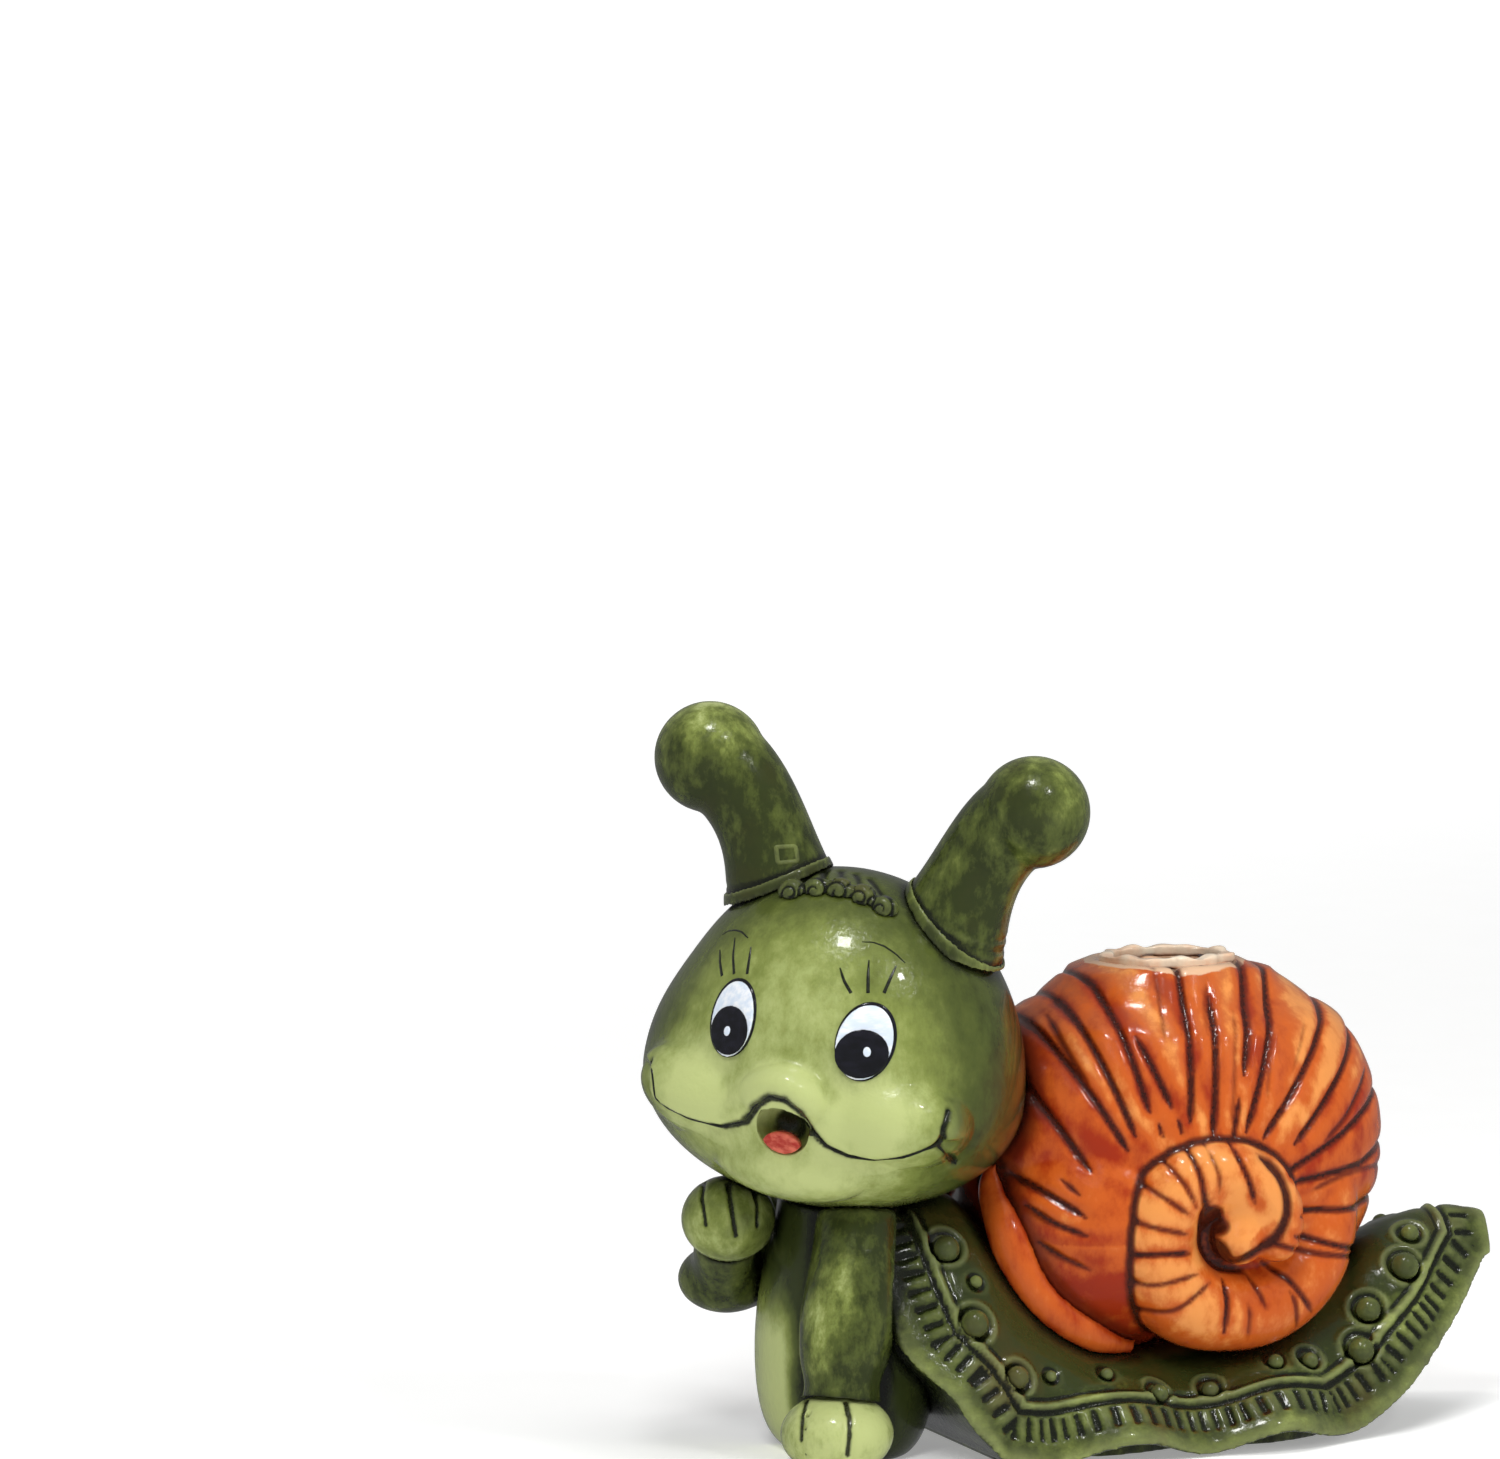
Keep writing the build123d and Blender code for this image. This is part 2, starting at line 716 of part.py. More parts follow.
@cache
def hand_form():
    """The outside of the raised hand."""
    x, y, z = scaled_rows([hand_place_shares], torso_half_length, torso_half_width, torso_height)[0]
    return Pos(x, y, z) * ellipsoid(*hand_half_sizes)


def make_hand():
    """The raised hand under the chin."""
    return hand_form() - body_forms()


def make_arm_right():
    """The bent arm behind the raised hand."""
    x, y, z = scaled_rows([elbow_place_shares], torso_half_length, torso_half_width, torso_height)[0]
    arm = horn(on_torso(arm_right_shares), steady_axis=(0, 1, 0))
    arm += Pos(x, y, z) * ellipsoid(*elbow_half_sizes)
    arm += horn(on_torso(forearm_shares), steady_axis=(1, 0, 0))
    return arm - hand_form() - body_forms()


def main():
    nodes = {
        "torso": make_torso(),
        "sole": make_sole(),
        "mantle": make_mantle(),
        "mantle_beads": make_beads(),
        "shell_pot": make_shell_pot(),
        "shell_rim": make_rim(),
        "shell_coil_left": make_coil(-1),
        "shell_coil_right": make_coil(1),
        "shell_lip_left": make_lip(-1),
        "shell_lip_right": make_lip(1),
        "head": make_head(),
        "tongue": make_tongue(),
        "hair_curls": make_curls(),
        "antenna_left": make_antenna(1),
        "antenna_right": make_antenna(-1),
        "antenna_cuff_left": make_cuff(1),
        "antenna_cuff_right": make_cuff(-1),
        "eye_left": make_eye(1),
        "eye_right": make_eye(-1),
        "pupil_left": make_pupil(1),
        "pupil_right": make_pupil(-1),
        "arm_left": make_arm_left(),
        "paw_left": make_paw(),
        "arm_right": make_arm_right(),
        "hand_right": make_hand(),
    }
    box = Compound(list(nodes.values())).bounding_box()
    home = Pos(-(box.min.X + box.max.X) / 2, -(box.min.Y + box.max.Y) / 2, -box.min.Z)
    os.makedirs("parts", exist_ok=True)
    for name, node in nodes.items():
        export_step(home * node, f"parts/{name}.step")


main()
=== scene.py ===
# %% [markdown]
# # A glazed ceramic snail planter
# The real thing is slip-cast earthenware: a hollow head, a hollow shell that holds the plant, and a
# frilled cape, all luted together, washed with dark stain, wiped back and covered with clear glaze.
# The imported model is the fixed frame. It gives every piece its place and size in metres, so what is
# left for this lesson is the surface: soft edges, pressed lines, brushed colour and shine.

# %% Load the frame
from math import cos, pi, radians, sin

import bpy
import numpy as np
from mathutils import Matrix, Vector
from mathutils.bvhtree import BVHTree


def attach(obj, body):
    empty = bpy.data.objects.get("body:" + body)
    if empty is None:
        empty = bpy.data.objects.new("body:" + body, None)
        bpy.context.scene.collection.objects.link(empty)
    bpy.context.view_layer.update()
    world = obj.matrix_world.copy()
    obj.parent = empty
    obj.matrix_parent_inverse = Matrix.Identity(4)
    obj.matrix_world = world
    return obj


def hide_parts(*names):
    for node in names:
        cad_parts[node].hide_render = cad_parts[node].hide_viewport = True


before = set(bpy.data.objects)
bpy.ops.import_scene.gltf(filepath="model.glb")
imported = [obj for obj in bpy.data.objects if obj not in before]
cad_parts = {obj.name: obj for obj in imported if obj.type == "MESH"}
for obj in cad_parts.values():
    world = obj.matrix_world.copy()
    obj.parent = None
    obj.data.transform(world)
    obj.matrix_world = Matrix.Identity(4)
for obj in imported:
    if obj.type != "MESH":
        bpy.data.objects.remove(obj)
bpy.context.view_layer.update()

bpy.ops.object.select_all(action="DESELECT")
mm = 0.001
middle_plane = 1.6  # y of the plane that both halves of the body and the shell share, in millimetres

# %% [markdown]
# ## The camera
# A product photograph is taken from far away with a long lens, so near and far parts keep their true
# proportions. The lens follows from the distance and from how many millimetres one pixel covers.

# %% Place the camera
photo_width, photo_height = 1500, 1459
pixel = 0.235 * mm
view_azimuth, view_elevation = radians(-20), radians(6)
view_distance = 2.4
ahead = Vector((-sin(view_azimuth) * cos(view_elevation), cos(view_azimuth) * cos(view_elevation),
                -sin(view_elevation)))
rightward = Vector((cos(view_azimuth), sin(view_azimuth), 0))
upward = rightward.cross(ahead)
origin_pixel = (1067, 1434)
eye = (rightward * (photo_width / 2 - origin_pixel[0]) * pixel
       + upward * (origin_pixel[1] - photo_height / 2) * pixel - ahead * view_distance)

bpy.ops.object.camera_add(location=eye)
camera = bpy.context.object
camera.name = "camera"
camera.matrix_world = Matrix.Translation(eye) @ Matrix((rightward, upward, -ahead)).transposed().to_4x4()
camera.data.sensor_width = 36
camera.data.lens = 36 * view_distance / (photo_width * pixel)
camera.data.clip_end = 100
bpy.context.scene.camera = camera
print("lens", round(camera.data.lens, 1), "mm")

# %% [markdown]
# ## From a pixel to the clay
# Brows, lashes and the smile were brushed or pressed where the maker's eye put them. A ray from the
# camera through one pixel finds the place on the clay, so such a mark always sits on its surface.

# %% Find the clay under a pixel
def tree_of(*pieces):
    """A search tree over the surfaces of some pieces."""
    spots, faces = [], []
    for piece in pieces:
        start = len(spots)
        spots += [vertex.co.copy() for vertex in piece.data.vertices]
        faces += [[start + i for i in polygon.vertices] for polygon in piece.data.polygons]
    return BVHTree.FromPolygons(spots, faces)


def under_pixel(tree, x, y):
    """The point of a surface that shows at one pixel of the photograph, and the surface's normal.
    A pixel that just misses the outline gives the clay that its ray comes nearest to."""
    target = eye + ahead * view_distance
    target += rightward * (x - photo_width / 2) * pixel + upward * (photo_height / 2 - y) * pixel
    way = (target - eye).normalized()
    spot, normal, _, _ = tree.ray_cast(eye, way)
    if spot:
        return spot, normal
    passed = [tree.find_nearest(target + way * step * mm) for step in range(-90, 91, 3)]
    return min(passed, key=lambda found: found[3])[:2]


# %% [markdown]
# ## Shader maths that reads like arithmetic
# A glaze is built from small sums: a cloud of noise times a share, plus a mask, and so on. One class
# wraps a socket and turns Python's operators into Math nodes, and one method adds any other node.

# %% Wrap a socket
class Value:
    """A number or colour that flows through a glaze."""

    def __init__(self, glaze, socket):
        self.glaze = glaze
        self.socket = socket

    def _maths(self, operation, *values):
        return self.glaze.add("ShaderNodeMath", {"operation": operation}, dict(enumerate(values)))

    def __add__(self, other):
        return self._maths("ADD", self, other)

    def __sub__(self, other):
        return self._maths("SUBTRACT", self, other)

    def __rsub__(self, other):
        return self._maths("SUBTRACT", other, self)

    def __mul__(self, other):
        return self._maths("MULTIPLY", self, other)

    __radd__ = __add__
    __rmul__ = __mul__

    def clear(self):
        """The same number, kept between 0 and 1."""
        return self.glaze.add("ShaderNodeClamp", {}, {"Value": self})


# %% Build a glaze
class Glaze:
    """A material for one finish of the snail."""

    def __init__(self, name):
        self.material = bpy.data.materials.new(name)
        self.material.use_nodes = True
        self.tree = self.material.node_tree
        self.tree.nodes.clear()
        self.place = self.add("ShaderNodeTexCoord", {}, {}, "Object")

    def add(self, kind, settings, sockets, output=0):
        """Adds one node: its settings first, then the values or links of its sockets."""
        node = self.tree.nodes.new(kind)
        for key, setting in settings.items():
            setattr(node, key, setting)
        for key, value in sockets.items():
            if isinstance(value, Value):
                self.tree.links.new(value.socket, node.inputs[key])
            else:
                node.inputs[key].default_value = value
        return Value(self, node.outputs[output])

    def mask(self, name):
        """A mask that was painted on the piece's points."""
        return self.add("ShaderNodeAttribute", {"attribute_name": name}, {}, "Fac")

    def noise(self, size, detail=4.0, stretch=(1, 1, 1), roughness=0.55):
        """Soft clouds about as large as size, in metres, stretched along some axes."""
        place = self.add("ShaderNodeMapping", {}, {"Vector": self.place, "Scale": [1 / s for s in stretch]})
        return self.add("ShaderNodeTexNoise", {}, {"Vector": place, "Scale": 1 / size, "Detail": detail,
                                                   "Roughness": roughness}, "Fac")

    def step(self, value, low, high):
        """0 below low, 1 above high and a soft slope between them."""
        return self.add("ShaderNodeMapRange", {"interpolation_type": "SMOOTHSTEP"},
                        {"Value": value, "From Min": low, "From Max": high})

    def mix(self, share, first, second):
        """The first colour where share is 0, and the second where it is 1."""
        return self.add("ShaderNodeMix", {"data_type": "RGBA"}, {0: share, 6: first, 7: second}, 2)

    def finish(self, colour, roughness, height, depth, coat=0.45, specular=0.4, glow=None):
        """Joins all that varies to the shader, under a clear coat. Glow is a light of its own."""
        normal = self.add("ShaderNodeBump", {}, {"Height": height, "Distance": depth, "Strength": 1.0},
                          "Normal")
        self.add("ShaderNodeBsdfPrincipled", {}, {
            "Base Color": colour, "Roughness": roughness, "Normal": normal, "Coat Weight": coat,
            "Coat Roughness": 0.04, "Specular IOR Level": specular,
            **({"Emission Color": glow, "Emission Strength": 1.0} if glow else {})})
        shader = self.tree.nodes[-1]
        output = self.tree.nodes.new("ShaderNodeOutputMaterial")
        self.tree.links.new(shader.outputs[0], output.inputs[0])
        return self.material


def card(red, green, blue):
    """A colour read off a colour card in steps of 0 to 255, as the light values that a shader needs."""
    shares = [step / 255 for step in (red, green, blue)]
    return (*[s / 12.92 if s <= 0.04045 else ((s + 0.055) / 1.055) ** 2.4 for s in shares], 1)


# %% [markdown]
# ## The table and the light
# The snail was photographed on white under big soft lamps. A wide pale floor does the same, and its far
# part glows a little, so that it stays as pale as the near part. A glaze mirrors all that is round it,
# and bright things would lay a grey veil over the dark greens. So the surround is dim, the glaze doesn't
# mirror the floor, and only two small lamps give it the bright spots that make it look wet.

# %% Lay the floor
bpy.ops.mesh.primitive_grid_add(x_subdivisions=8, y_subdivisions=8, size=60, location=(0, 0, 0))
floor = bpy.context.object
floor.name = "floor"
paper = Glaze("floor_paper")
grain = paper.noise(0.02, 3)
split = paper.add("ShaderNodeSeparateXYZ", {}, {0: paper.place}, "Y")
far = paper.step(split, 0.1, 2.5) * 0.68 + 0.3
floor.data.materials.append(paper.finish(
    paper.mix(grain, card(243, 243, 241), card(247, 247, 246)), 0.7 + grain * 0.1, grain, 0.0001, coat=0.0,
    specular=0.2, glow=paper.mix(far, (0, 0, 0, 1), (1, 1, 1, 1))))
floor.visible_glossy = False

# %% Hang the lamps
aim = Vector((0, 0, 0.08))


def softbox(name, place, width, power, mirrored=False):
    """A square lamp of some width in metres and power in watts. Only a mirrored one shows on the glaze."""
    bpy.ops.object.light_add(type="AREA", location=place)
    lamp = bpy.context.object
    lamp.name = name
    lamp.data.size = width
    lamp.data.energy = power
    lamp.rotation_euler = (aim - Vector(place)).to_track_quat("-Z", "Y").to_euler()
    lamp.visible_glossy = mirrored


softbox("lamp_key", (-0.75, -1.15, 1.35), 0.5, 13)
softbox("lamp_spark", (-0.32, -0.55, 1.8), 0.22, 5, mirrored=True)
softbox("lamp_glint", (0.5, -1.3, 1.6), 0.12, 2.5, mirrored=True)
softbox("lamp_fill", (1.3, -1.3, 0.8), 0.8, 11)
softbox("lamp_top", (0.1, -0.3, 1.8), 0.8, 8)
softbox("lamp_back", (-0.6, 1.5, 0.9), 0.5, 2)
world = bpy.context.scene.world or bpy.data.worlds.new("world")
bpy.context.scene.world = world
world.use_nodes = True
surround = world.node_tree.nodes["Background"]
surround.inputs["Color"].default_value = (0.97, 0.98, 1.0, 1)
surround.inputs["Strength"].default_value = 0.2
bpy.context.scene.view_settings.view_transform = "Standard"

# %% [markdown]
# ## Soft edges
# Clay from a mould has no sharp edge, and glaze rounds it further. The CAD solid is exact but crisp.
# A copy of it is merged, rebuilt in even grains and smoothed, which gives both the soft edges and
# enough points to press lines into. The CAD node itself is never changed; the copy stands for it.

# %% Copy a node in soft clay
def pick(piece):
    """Selects one object alone, as a click on it does."""
    bpy.ops.object.select_all(action="DESELECT")
    piece.select_set(True)
    bpy.context.view_layer.objects.active = piece


def modify(piece, kind, **settings):
    """Puts one modifier on the picked piece and applies it."""
    bpy.ops.object.modifier_add(type=kind)
    for key, setting in settings.items():
        setattr(piece.modifiers[0], key, setting)
    bpy.ops.object.modifier_apply(modifier=piece.modifiers[0].name)


def nodes(*names):
    """The frame's objects of some CAD nodes."""
    return [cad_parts[name] for name in names]


def soft_copy(name, names, grain, rounds, glaze):
    """One glazed piece that stands for the CAD nodes of some names, in even grains with softened edges."""
    bpy.ops.object.select_all(action="DESELECT")
    for node in nodes(*names):
        copy = bpy.data.objects.new(name, node.data.copy())
        bpy.context.scene.collection.objects.link(copy)
        copy.select_set(True)
        bpy.context.view_layer.objects.active = copy
    if len(names) > 1:
        bpy.ops.object.join()
    piece = bpy.context.object
    piece.name = piece.data.name = name
    bpy.ops.object.mode_set(mode="EDIT")
    bpy.ops.mesh.select_all(action="SELECT")
    bpy.ops.mesh.remove_doubles(threshold=1e-6)
    bpy.ops.object.mode_set(mode="OBJECT")
    modify(piece, "REMESH", mode="VOXEL", voxel_size=grain)
    modify(piece, "SMOOTH", factor=0.5, iterations=rounds)
    bpy.ops.object.shade_smooth()
    piece.data.materials.clear()
    piece.data.materials.append(glaze)
    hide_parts(*names)
    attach(piece, "root")
    piece.select_set(False)
    print(name, len(piece.data.polygons) * 2, "triangles")
    return piece


# %% Thin out a hidden wall
def thin_inside(piece, width, share):
    """Thins the wall of a hollow down to a share of all faces. The hollow is wider than width."""
    tree = tree_of(piece)
    inside = []
    for vertex in piece.data.vertices:
        gap = tree.ray_cast(vertex.co + vertex.normal * 0.5 * mm, vertex.normal)[3]
        if gap and gap > width:
            inside.append(vertex.index)
    piece.vertex_groups.new(name="inside").add(inside, 1.0, "REPLACE")
    pick(piece)
    modify(piece, "DECIMATE", ratio=share, vertex_group="inside")
    piece.select_set(False)
    triangles = sum(len(face.vertices) - 2 for face in piece.data.polygons)
    print(piece.name, "thinned to", triangles, "triangles")


# %% [markdown]
# ## Pressing and painting by point
# A potter's tool pushes clay along the surface's normal, and a stain stays where the tool went. Both
# are one number for each point of the mesh: a height to press, and a mask that the glaze reads.

# %% Read and move points
def rows_of(piece, table, field):
    """Three numbers for each of a piece's points, one row each."""
    flat = np.empty(len(piece.data.vertices) * 3, np.float32)
    table.foreach_get(field, flat)
    return flat.reshape(-1, 3).astype(float)


def points_of(piece):
    """The places of a piece's points."""
    return rows_of(piece, piece.data.vertices, "co")


def normals_of(piece):
    """The outward direction at each point."""
    return rows_of(piece, piece.data.vertex_normals, "vector")


def move_points(piece, spots):
    """Puts a piece's points in new places."""
    piece.data.vertices.foreach_set("co", spots.astype(np.float32).ravel())
    piece.data.update()


def press(piece, heights):
    """Moves each point out along its evened normal by its own height, in metres."""
    ways = evened(piece, normals_of(piece), 3)
    ways /= np.maximum(np.linalg.norm(ways, axis=1), 1e-6)[:, None]
    move_points(piece, points_of(piece) + ways * heights[:, None])


def soften(piece, shares, rounds):
    """Evens the clay where the share is 1, and leaves it where the share is 0."""
    spots = points_of(piece)
    move_points(piece, spots + (evened(piece, spots, rounds) - spots) * shares[:, None])


def paint(piece, **masks):
    """Stores masks between 0 and 1 on the points: one number for all of them, or one for each."""
    for name, values in masks.items():
        layer = piece.data.attributes.get(name) or piece.data.attributes.new(name, "FLOAT", "POINT")
        values = np.broadcast_to(values, len(layer.data))
        layer.data.foreach_set("value", np.clip(values, 0, 1).astype(np.float32))


# %% Measure hollows, touch and lines
def evened(piece, values, rounds):
    """Values on the points, averaged over their neighbours some times."""
    ends = np.empty(len(piece.data.edges) * 2, np.int32)
    piece.data.edges.foreach_get("vertices", ends)
    one, two = ends.reshape(-1, 2).T
    count = len(values)
    shares = np.bincount(one, minlength=count) + np.bincount(two, minlength=count)
    table = values.reshape(count, -1)
    for _ in range(rounds):
        sums = [np.bincount(one, column[two], count) + np.bincount(two, column[one], count)
                for column in table.T]
        table = (table + np.array(sums).T / np.maximum(shares, 1)[:, None]) / 2
    return table.reshape(values.shape)


def relief(piece, rounds, depth):
    """How far each point stands above the clay around it, from -1 in a hollow to 1 on a ridge."""
    points = points_of(piece)
    rise = ((points - evened(piece, points, rounds)) * normals_of(piece)).sum(1)
    return np.clip(rise / depth, -1, 1)


def touch(piece, others, reach):
    """1 where a piece meets one of the others, down to 0 at reach."""
    tree = tree_of(*others)
    near = np.zeros(len(piece.data.vertices))
    for i, vertex in enumerate(piece.data.vertices):
        gap = tree.find_nearest(vertex.co, reach)[3]
        if gap is not None:
            near[i] = 1 - gap / reach
    return near


def from_line(points, line):
    """Each point's distance from a line through some spots, and how far along the line that is."""
    gap = np.full(len(points), np.inf)
    along = np.zeros(len(points))
    start = 0.0
    for low, high in zip(line[:-1], line[1:]):
        step = high - low
        length = max(np.linalg.norm(step), 1e-9)
        share = unit((points - low) @ step / length**2)
        reach = np.linalg.norm(points - low - share[:, None] * step, axis=1)
        nearer = reach < gap
        gap = np.where(nearer, reach, gap)
        along = np.where(nearer, start + share * length, along)
        start += length
    return gap, along


def slope(values, low, high):
    """0 below low, 1 above high and a soft slope between them."""
    share = unit((values - low) / (high - low))
    return share * share * (3 - 2 * share)


def unit(values):
    """The values kept between 0 and 1."""
    return np.clip(values, 0, 1)


def bump(values, middle, width):
    """1 where a value is at the middle, falling softly to almost 0 two widths away."""
    return np.exp(-((values - middle) / width) ** 2)


# %% [markdown]
# ## Green glaze
# All the snail's skin is one family of green: a light green coat, olive where the brush went twice,
# and an almost black wash that was wiped off the high places and stayed in every crease. The same
# dark mask also holds painted shade where pieces meet and in deep recesses, and "pale" and "deep"
# hold painted light and shade on some pieces. Brushed clouds mix them all, and so do the masks
# "pale", "deep", "rusty" and "ridge" of each piece and the dark mask of the wash and shade.

# %% Mix the greens
pale_green = card(188, 198, 130)
leaf_green = card(132, 144, 72)
olive = card(82, 92, 40)
deep_olive = card(42, 50, 20)
wash_black = card(13, 17, 7)
rust = card(96, 62, 24)


def green_glaze(name, depth_of_colour, mottle, streak=(1, 1, 1), rust_share=0.0):
    """A green from the family. Depth 0 is the pale coat alone, and 1 is the darkest brushwork."""
    green = Glaze(name)
    pale, deep = green.mask("pale"), green.mask("deep")
    wash, ridge = green.mask("wash"), green.mask("ridge")
    cloud = green.noise(22 * mm, 3)
    brush = green.noise(5 * mm, 6, streak, 0.7)
    speck = green.noise(1.3 * mm, 4)
    shade = depth_of_colour + ((cloud - 0.5) * 1.0 + (brush - 0.5) * 1.3) * mottle
    shade = (shade - pale * 0.75 + deep * 0.5 - ridge * 0.25).clear()
    skin = green.mix(green.step(shade, 0.0, 0.45), pale_green, leaf_green)
    skin = green.mix(green.step(shade, 0.3, 0.75), skin, olive)
    skin = green.mix(green.step(shade, 0.65, 1.1), skin, deep_olive)
    rusty = green.step(cloud, 0.55, 0.75) * rust_share + green.mask("rusty") * brush * 1.2
    skin = green.mix(rusty.clear(), skin, rust)
    # The dark mask turns the skin near black: wash in the creases, and painted shade at joints and in
    # recesses.
    stain_and_shade = green.step(wash + (brush - 0.5) * 0.35 + (speck - 0.5) * 0.25, 0.2, 0.8)
    skin = green.mix(stain_and_shade * 0.94, skin, wash_black)
    skin = green.mix(ridge * 0.35 * (1 - stain_and_shade), skin, pale_green)
    rough = 0.16 + speck * 0.1 + stain_and_shade * 0.06
    height = speck * 0.3 + brush * 0.7 + green.noise(2.6 * mm, 2) * 0.6
    return green.finish(skin, rough, height, 0.0002)


skin_glaze = green_glaze("glaze_skin", 0.55, 0.45, (1, 1, 1.6))
dark_glaze = green_glaze("glaze_dark", 0.92, 1.3, (1, 1, 1.8), 0.1)
cape_glaze = green_glaze("glaze_cape", 0.96, 1.2, (1.4, 1, 1), 0.3)
paw_glaze = green_glaze("glaze_paw", 0.36, 0.8, (1, 1, 1.6))

# %% [markdown]
# ## The head
# The head is a hollow egg with full cheeks. The smile was pressed into the soft clay: the cheeks roll
# over it and the jaw sits a little back. The line follows pixels of the photograph, found on the
# clay, and the press is a narrow groove with a wide step across it. A dimple ends it on one side, and
# a few strokes on the crown start the tuft of hair. The snout is a soft ring over the mouth.

# %% Shape the head
head = soft_copy("head_glazed", ["head"], 0.77 * mm, 8, skin_glaze)
head_middle = Vector((-59.6, -2.4, 87)) * mm
head_turn = Matrix.Rotation(radians(-37.5), 3, "Z") @ Matrix.Rotation(radians(7.5), 3, "Y")


def in_head(points):
    """Places in the head's own frame: its left is +X, its back is +Y and its crown is +Z."""
    return (points - np.array(head_middle)) @ np.array(head_turn)


head_tree = tree_of(head)
smile_pixels = [
    (651, 1062), (655, 1098), (668, 1108), (690, 1119), (722, 1127), (744, 1122), (755, 1106), (769, 1097),
    (785, 1100), (799, 1111), (811, 1129), (826, 1146), (848, 1156), (874, 1160), (904, 1157), (931, 1147),
    (942, 1140)]
dimple_pixels = [(948, 1112), (942, 1128), (938, 1146), (955, 1163)]
tuft_pixels = [
    [(778, 886), (788, 875), (803, 869)], [(800, 883), (809, 875), (820, 869)], [(822, 884), (826, 870)],
    [(842, 886), (841, 871)], [(862, 889), (856, 874)], [(882, 894), (870, 879)]]
smile, dimple, *tuft = [np.array([under_pixel(head_tree, x, y)[0] for x, y in row])
                        for row in (smile_pixels, dimple_pixels, *tuft_pixels)]

# %% Press the smile
spots = in_head(points_of(head))
line = in_head(smile)
gap, _ = from_line(points_of(head), smile)
side_gap, _ = from_line(points_of(head), dimple)
tuft_gap = np.min([from_line(points_of(head), row)[0] for row in tuft], axis=0)
order = np.argsort(line[:, 0])
line_height = np.interp(spots[:, 0], line[order, 0], line[order, 2])
above = slope(spots[:, 2] - line_height, -0.8 * mm, 0.8 * mm) * 2 - 1
head_half = 44 * mm
front = (spots[:, 1] < -5 * mm) * slope(head_half - abs(spots[:, 0]), 0, 8 * mm)
roll = above * bump(gap, 2.5 * mm, 4.5 * mm) * front
from_mouth = np.hypot(spots[:, 0] / mm + 1.5, (spots[:, 2] / mm + 6) * 0.9)
snout = bump(from_mouth, 10.5, 2.6) * slope(spots[:, 2] / mm, -4, 1) * front
dent = bump(from_mouth, 17, 3.5) * slope(spots[:, 2] / mm, 0, 6) * front
temple = bump(np.hypot(spots[:, 0] / mm + 36, spots[:, 2] / mm - 25), 0, 16)
grooves = 0.9 * bump(gap, 0, 0.9 * mm) + 0.8 * bump(side_gap, 0, 0.9 * mm) + 0.6 * bump(tuft_gap, 0, 0.8 * mm)
press(head, (0.9 * roll - grooves + 0.9 * snout - 0.6 * dent - 2.0 * temple) * mm)

# %% Paint the head
spots = in_head(points_of(head)) / mm
bulge = relief(head, 24, 0.5 * mm)
contact = touch(head, nodes("antenna_left", "antenna_right", "torso", "shell_pot", "mantle", "hand_right"),
                6 * mm)
across, back, up = spots.T


def blob(x, z, wide, high):
    """A soft patch on the front of the head, 1 in its middle, which is x across and z up."""
    return np.exp(-(((across - x) / wide) ** 2 + ((up - z) / high) ** 2)) * slope(-back, -4, 14)


face = np.hypot(across / 40, (up - 4) / 46)
under_smile = bump(line_height / mm - 3.0 - up, 0, 3.2) * (front > 0.5) * (gap < 6.5 * mm)
brink = np.median(back[(from_mouth > 10) & (from_mouth < 12) & (back < -20)])
# Painted shade inside the mouth, where the opening goes back into the head.
inside = (from_mouth < 10) * slope(back - brink, 1.0, 4) * (back < 0)
paint(head, pale=0.85 * blob(-22, -1, 14, 12) + 0.9 * blob(20, -1, 15, 11) + 0.7 * blob(-1, 5, 10, 7)
      + 0.4 * blob(0, 22, 26, 14) + 0.6 * blob(4, -18, 22, 8) + 0.15 * under_smile)
# Darker towards the face's outline, the back of the head and round the eyes, and painted shade under the chin
# and in the dent over the snout.
paint(head, deep=0.8 * slope(face, 0.66, 1.1) + 0.9 * slope(back, -6, 20) + 0.4 * blob(0, -28, 40, 5)
      + 0.2 * blob(-16, 29, 9, 6) + 0.2 * blob(16, 29, 9, 6) + 0.15 * blob(0, 17, 5, 6)
      + 0.35 * bump(from_mouth, 15, 2.2) * slope(up, -2, 3) * (back < -20))
paint(head, rusty=0.55 * slope(across, 37, 45) * slope(-abs(up + 2), -26, -12) * slope(abs(back + 2), 22, 6))
# The dark mask: stain in the smile, dimple, tuft and hollows, and painted shade inside the mouth and where
# the head meets the antennae, body, shell, cape and hand.
paint(head, wash=contact**2 * 0.9 + unit(-bulge - 0.3) * 0.55 + 0.9 * bump(gap, 0, 1.3 * mm)
      + 0.9 * bump(side_gap, 0, 1.1 * mm) + 0.8 * bump(tuft_gap, 0, 0.9 * mm)
      + 0.15 * slope(face, 0.9, 1.2) * slope(back, -20, 0) + 0.8 * inside)
paint(head, ridge=unit(bulge - 0.2) * 0.6)

# %% [markdown]
# ## Brushed lines
# The smile, the brows, the lashes and the rims of the eyes are black enamel from a fine brush. Each
# is a thin strand half sunk into the clay, so that only a low rounded strip of it shows, thick in
# the middle and thin where the brush lifted.

# %% Brush a line
def clay_path(tree, pixels, count):
    """Spots on the clay, evenly along a line of pixels, with their normals."""
    line = np.array(pixels, float)
    way = np.concatenate([[0], np.cumsum(np.linalg.norm(np.diff(line, axis=0), axis=1))])
    steps = np.linspace(0, way[-1], count)
    return [under_pixel(tree, np.interp(s, way, line[:, 0]), np.interp(s, way, line[:, 1])) for s in steps]


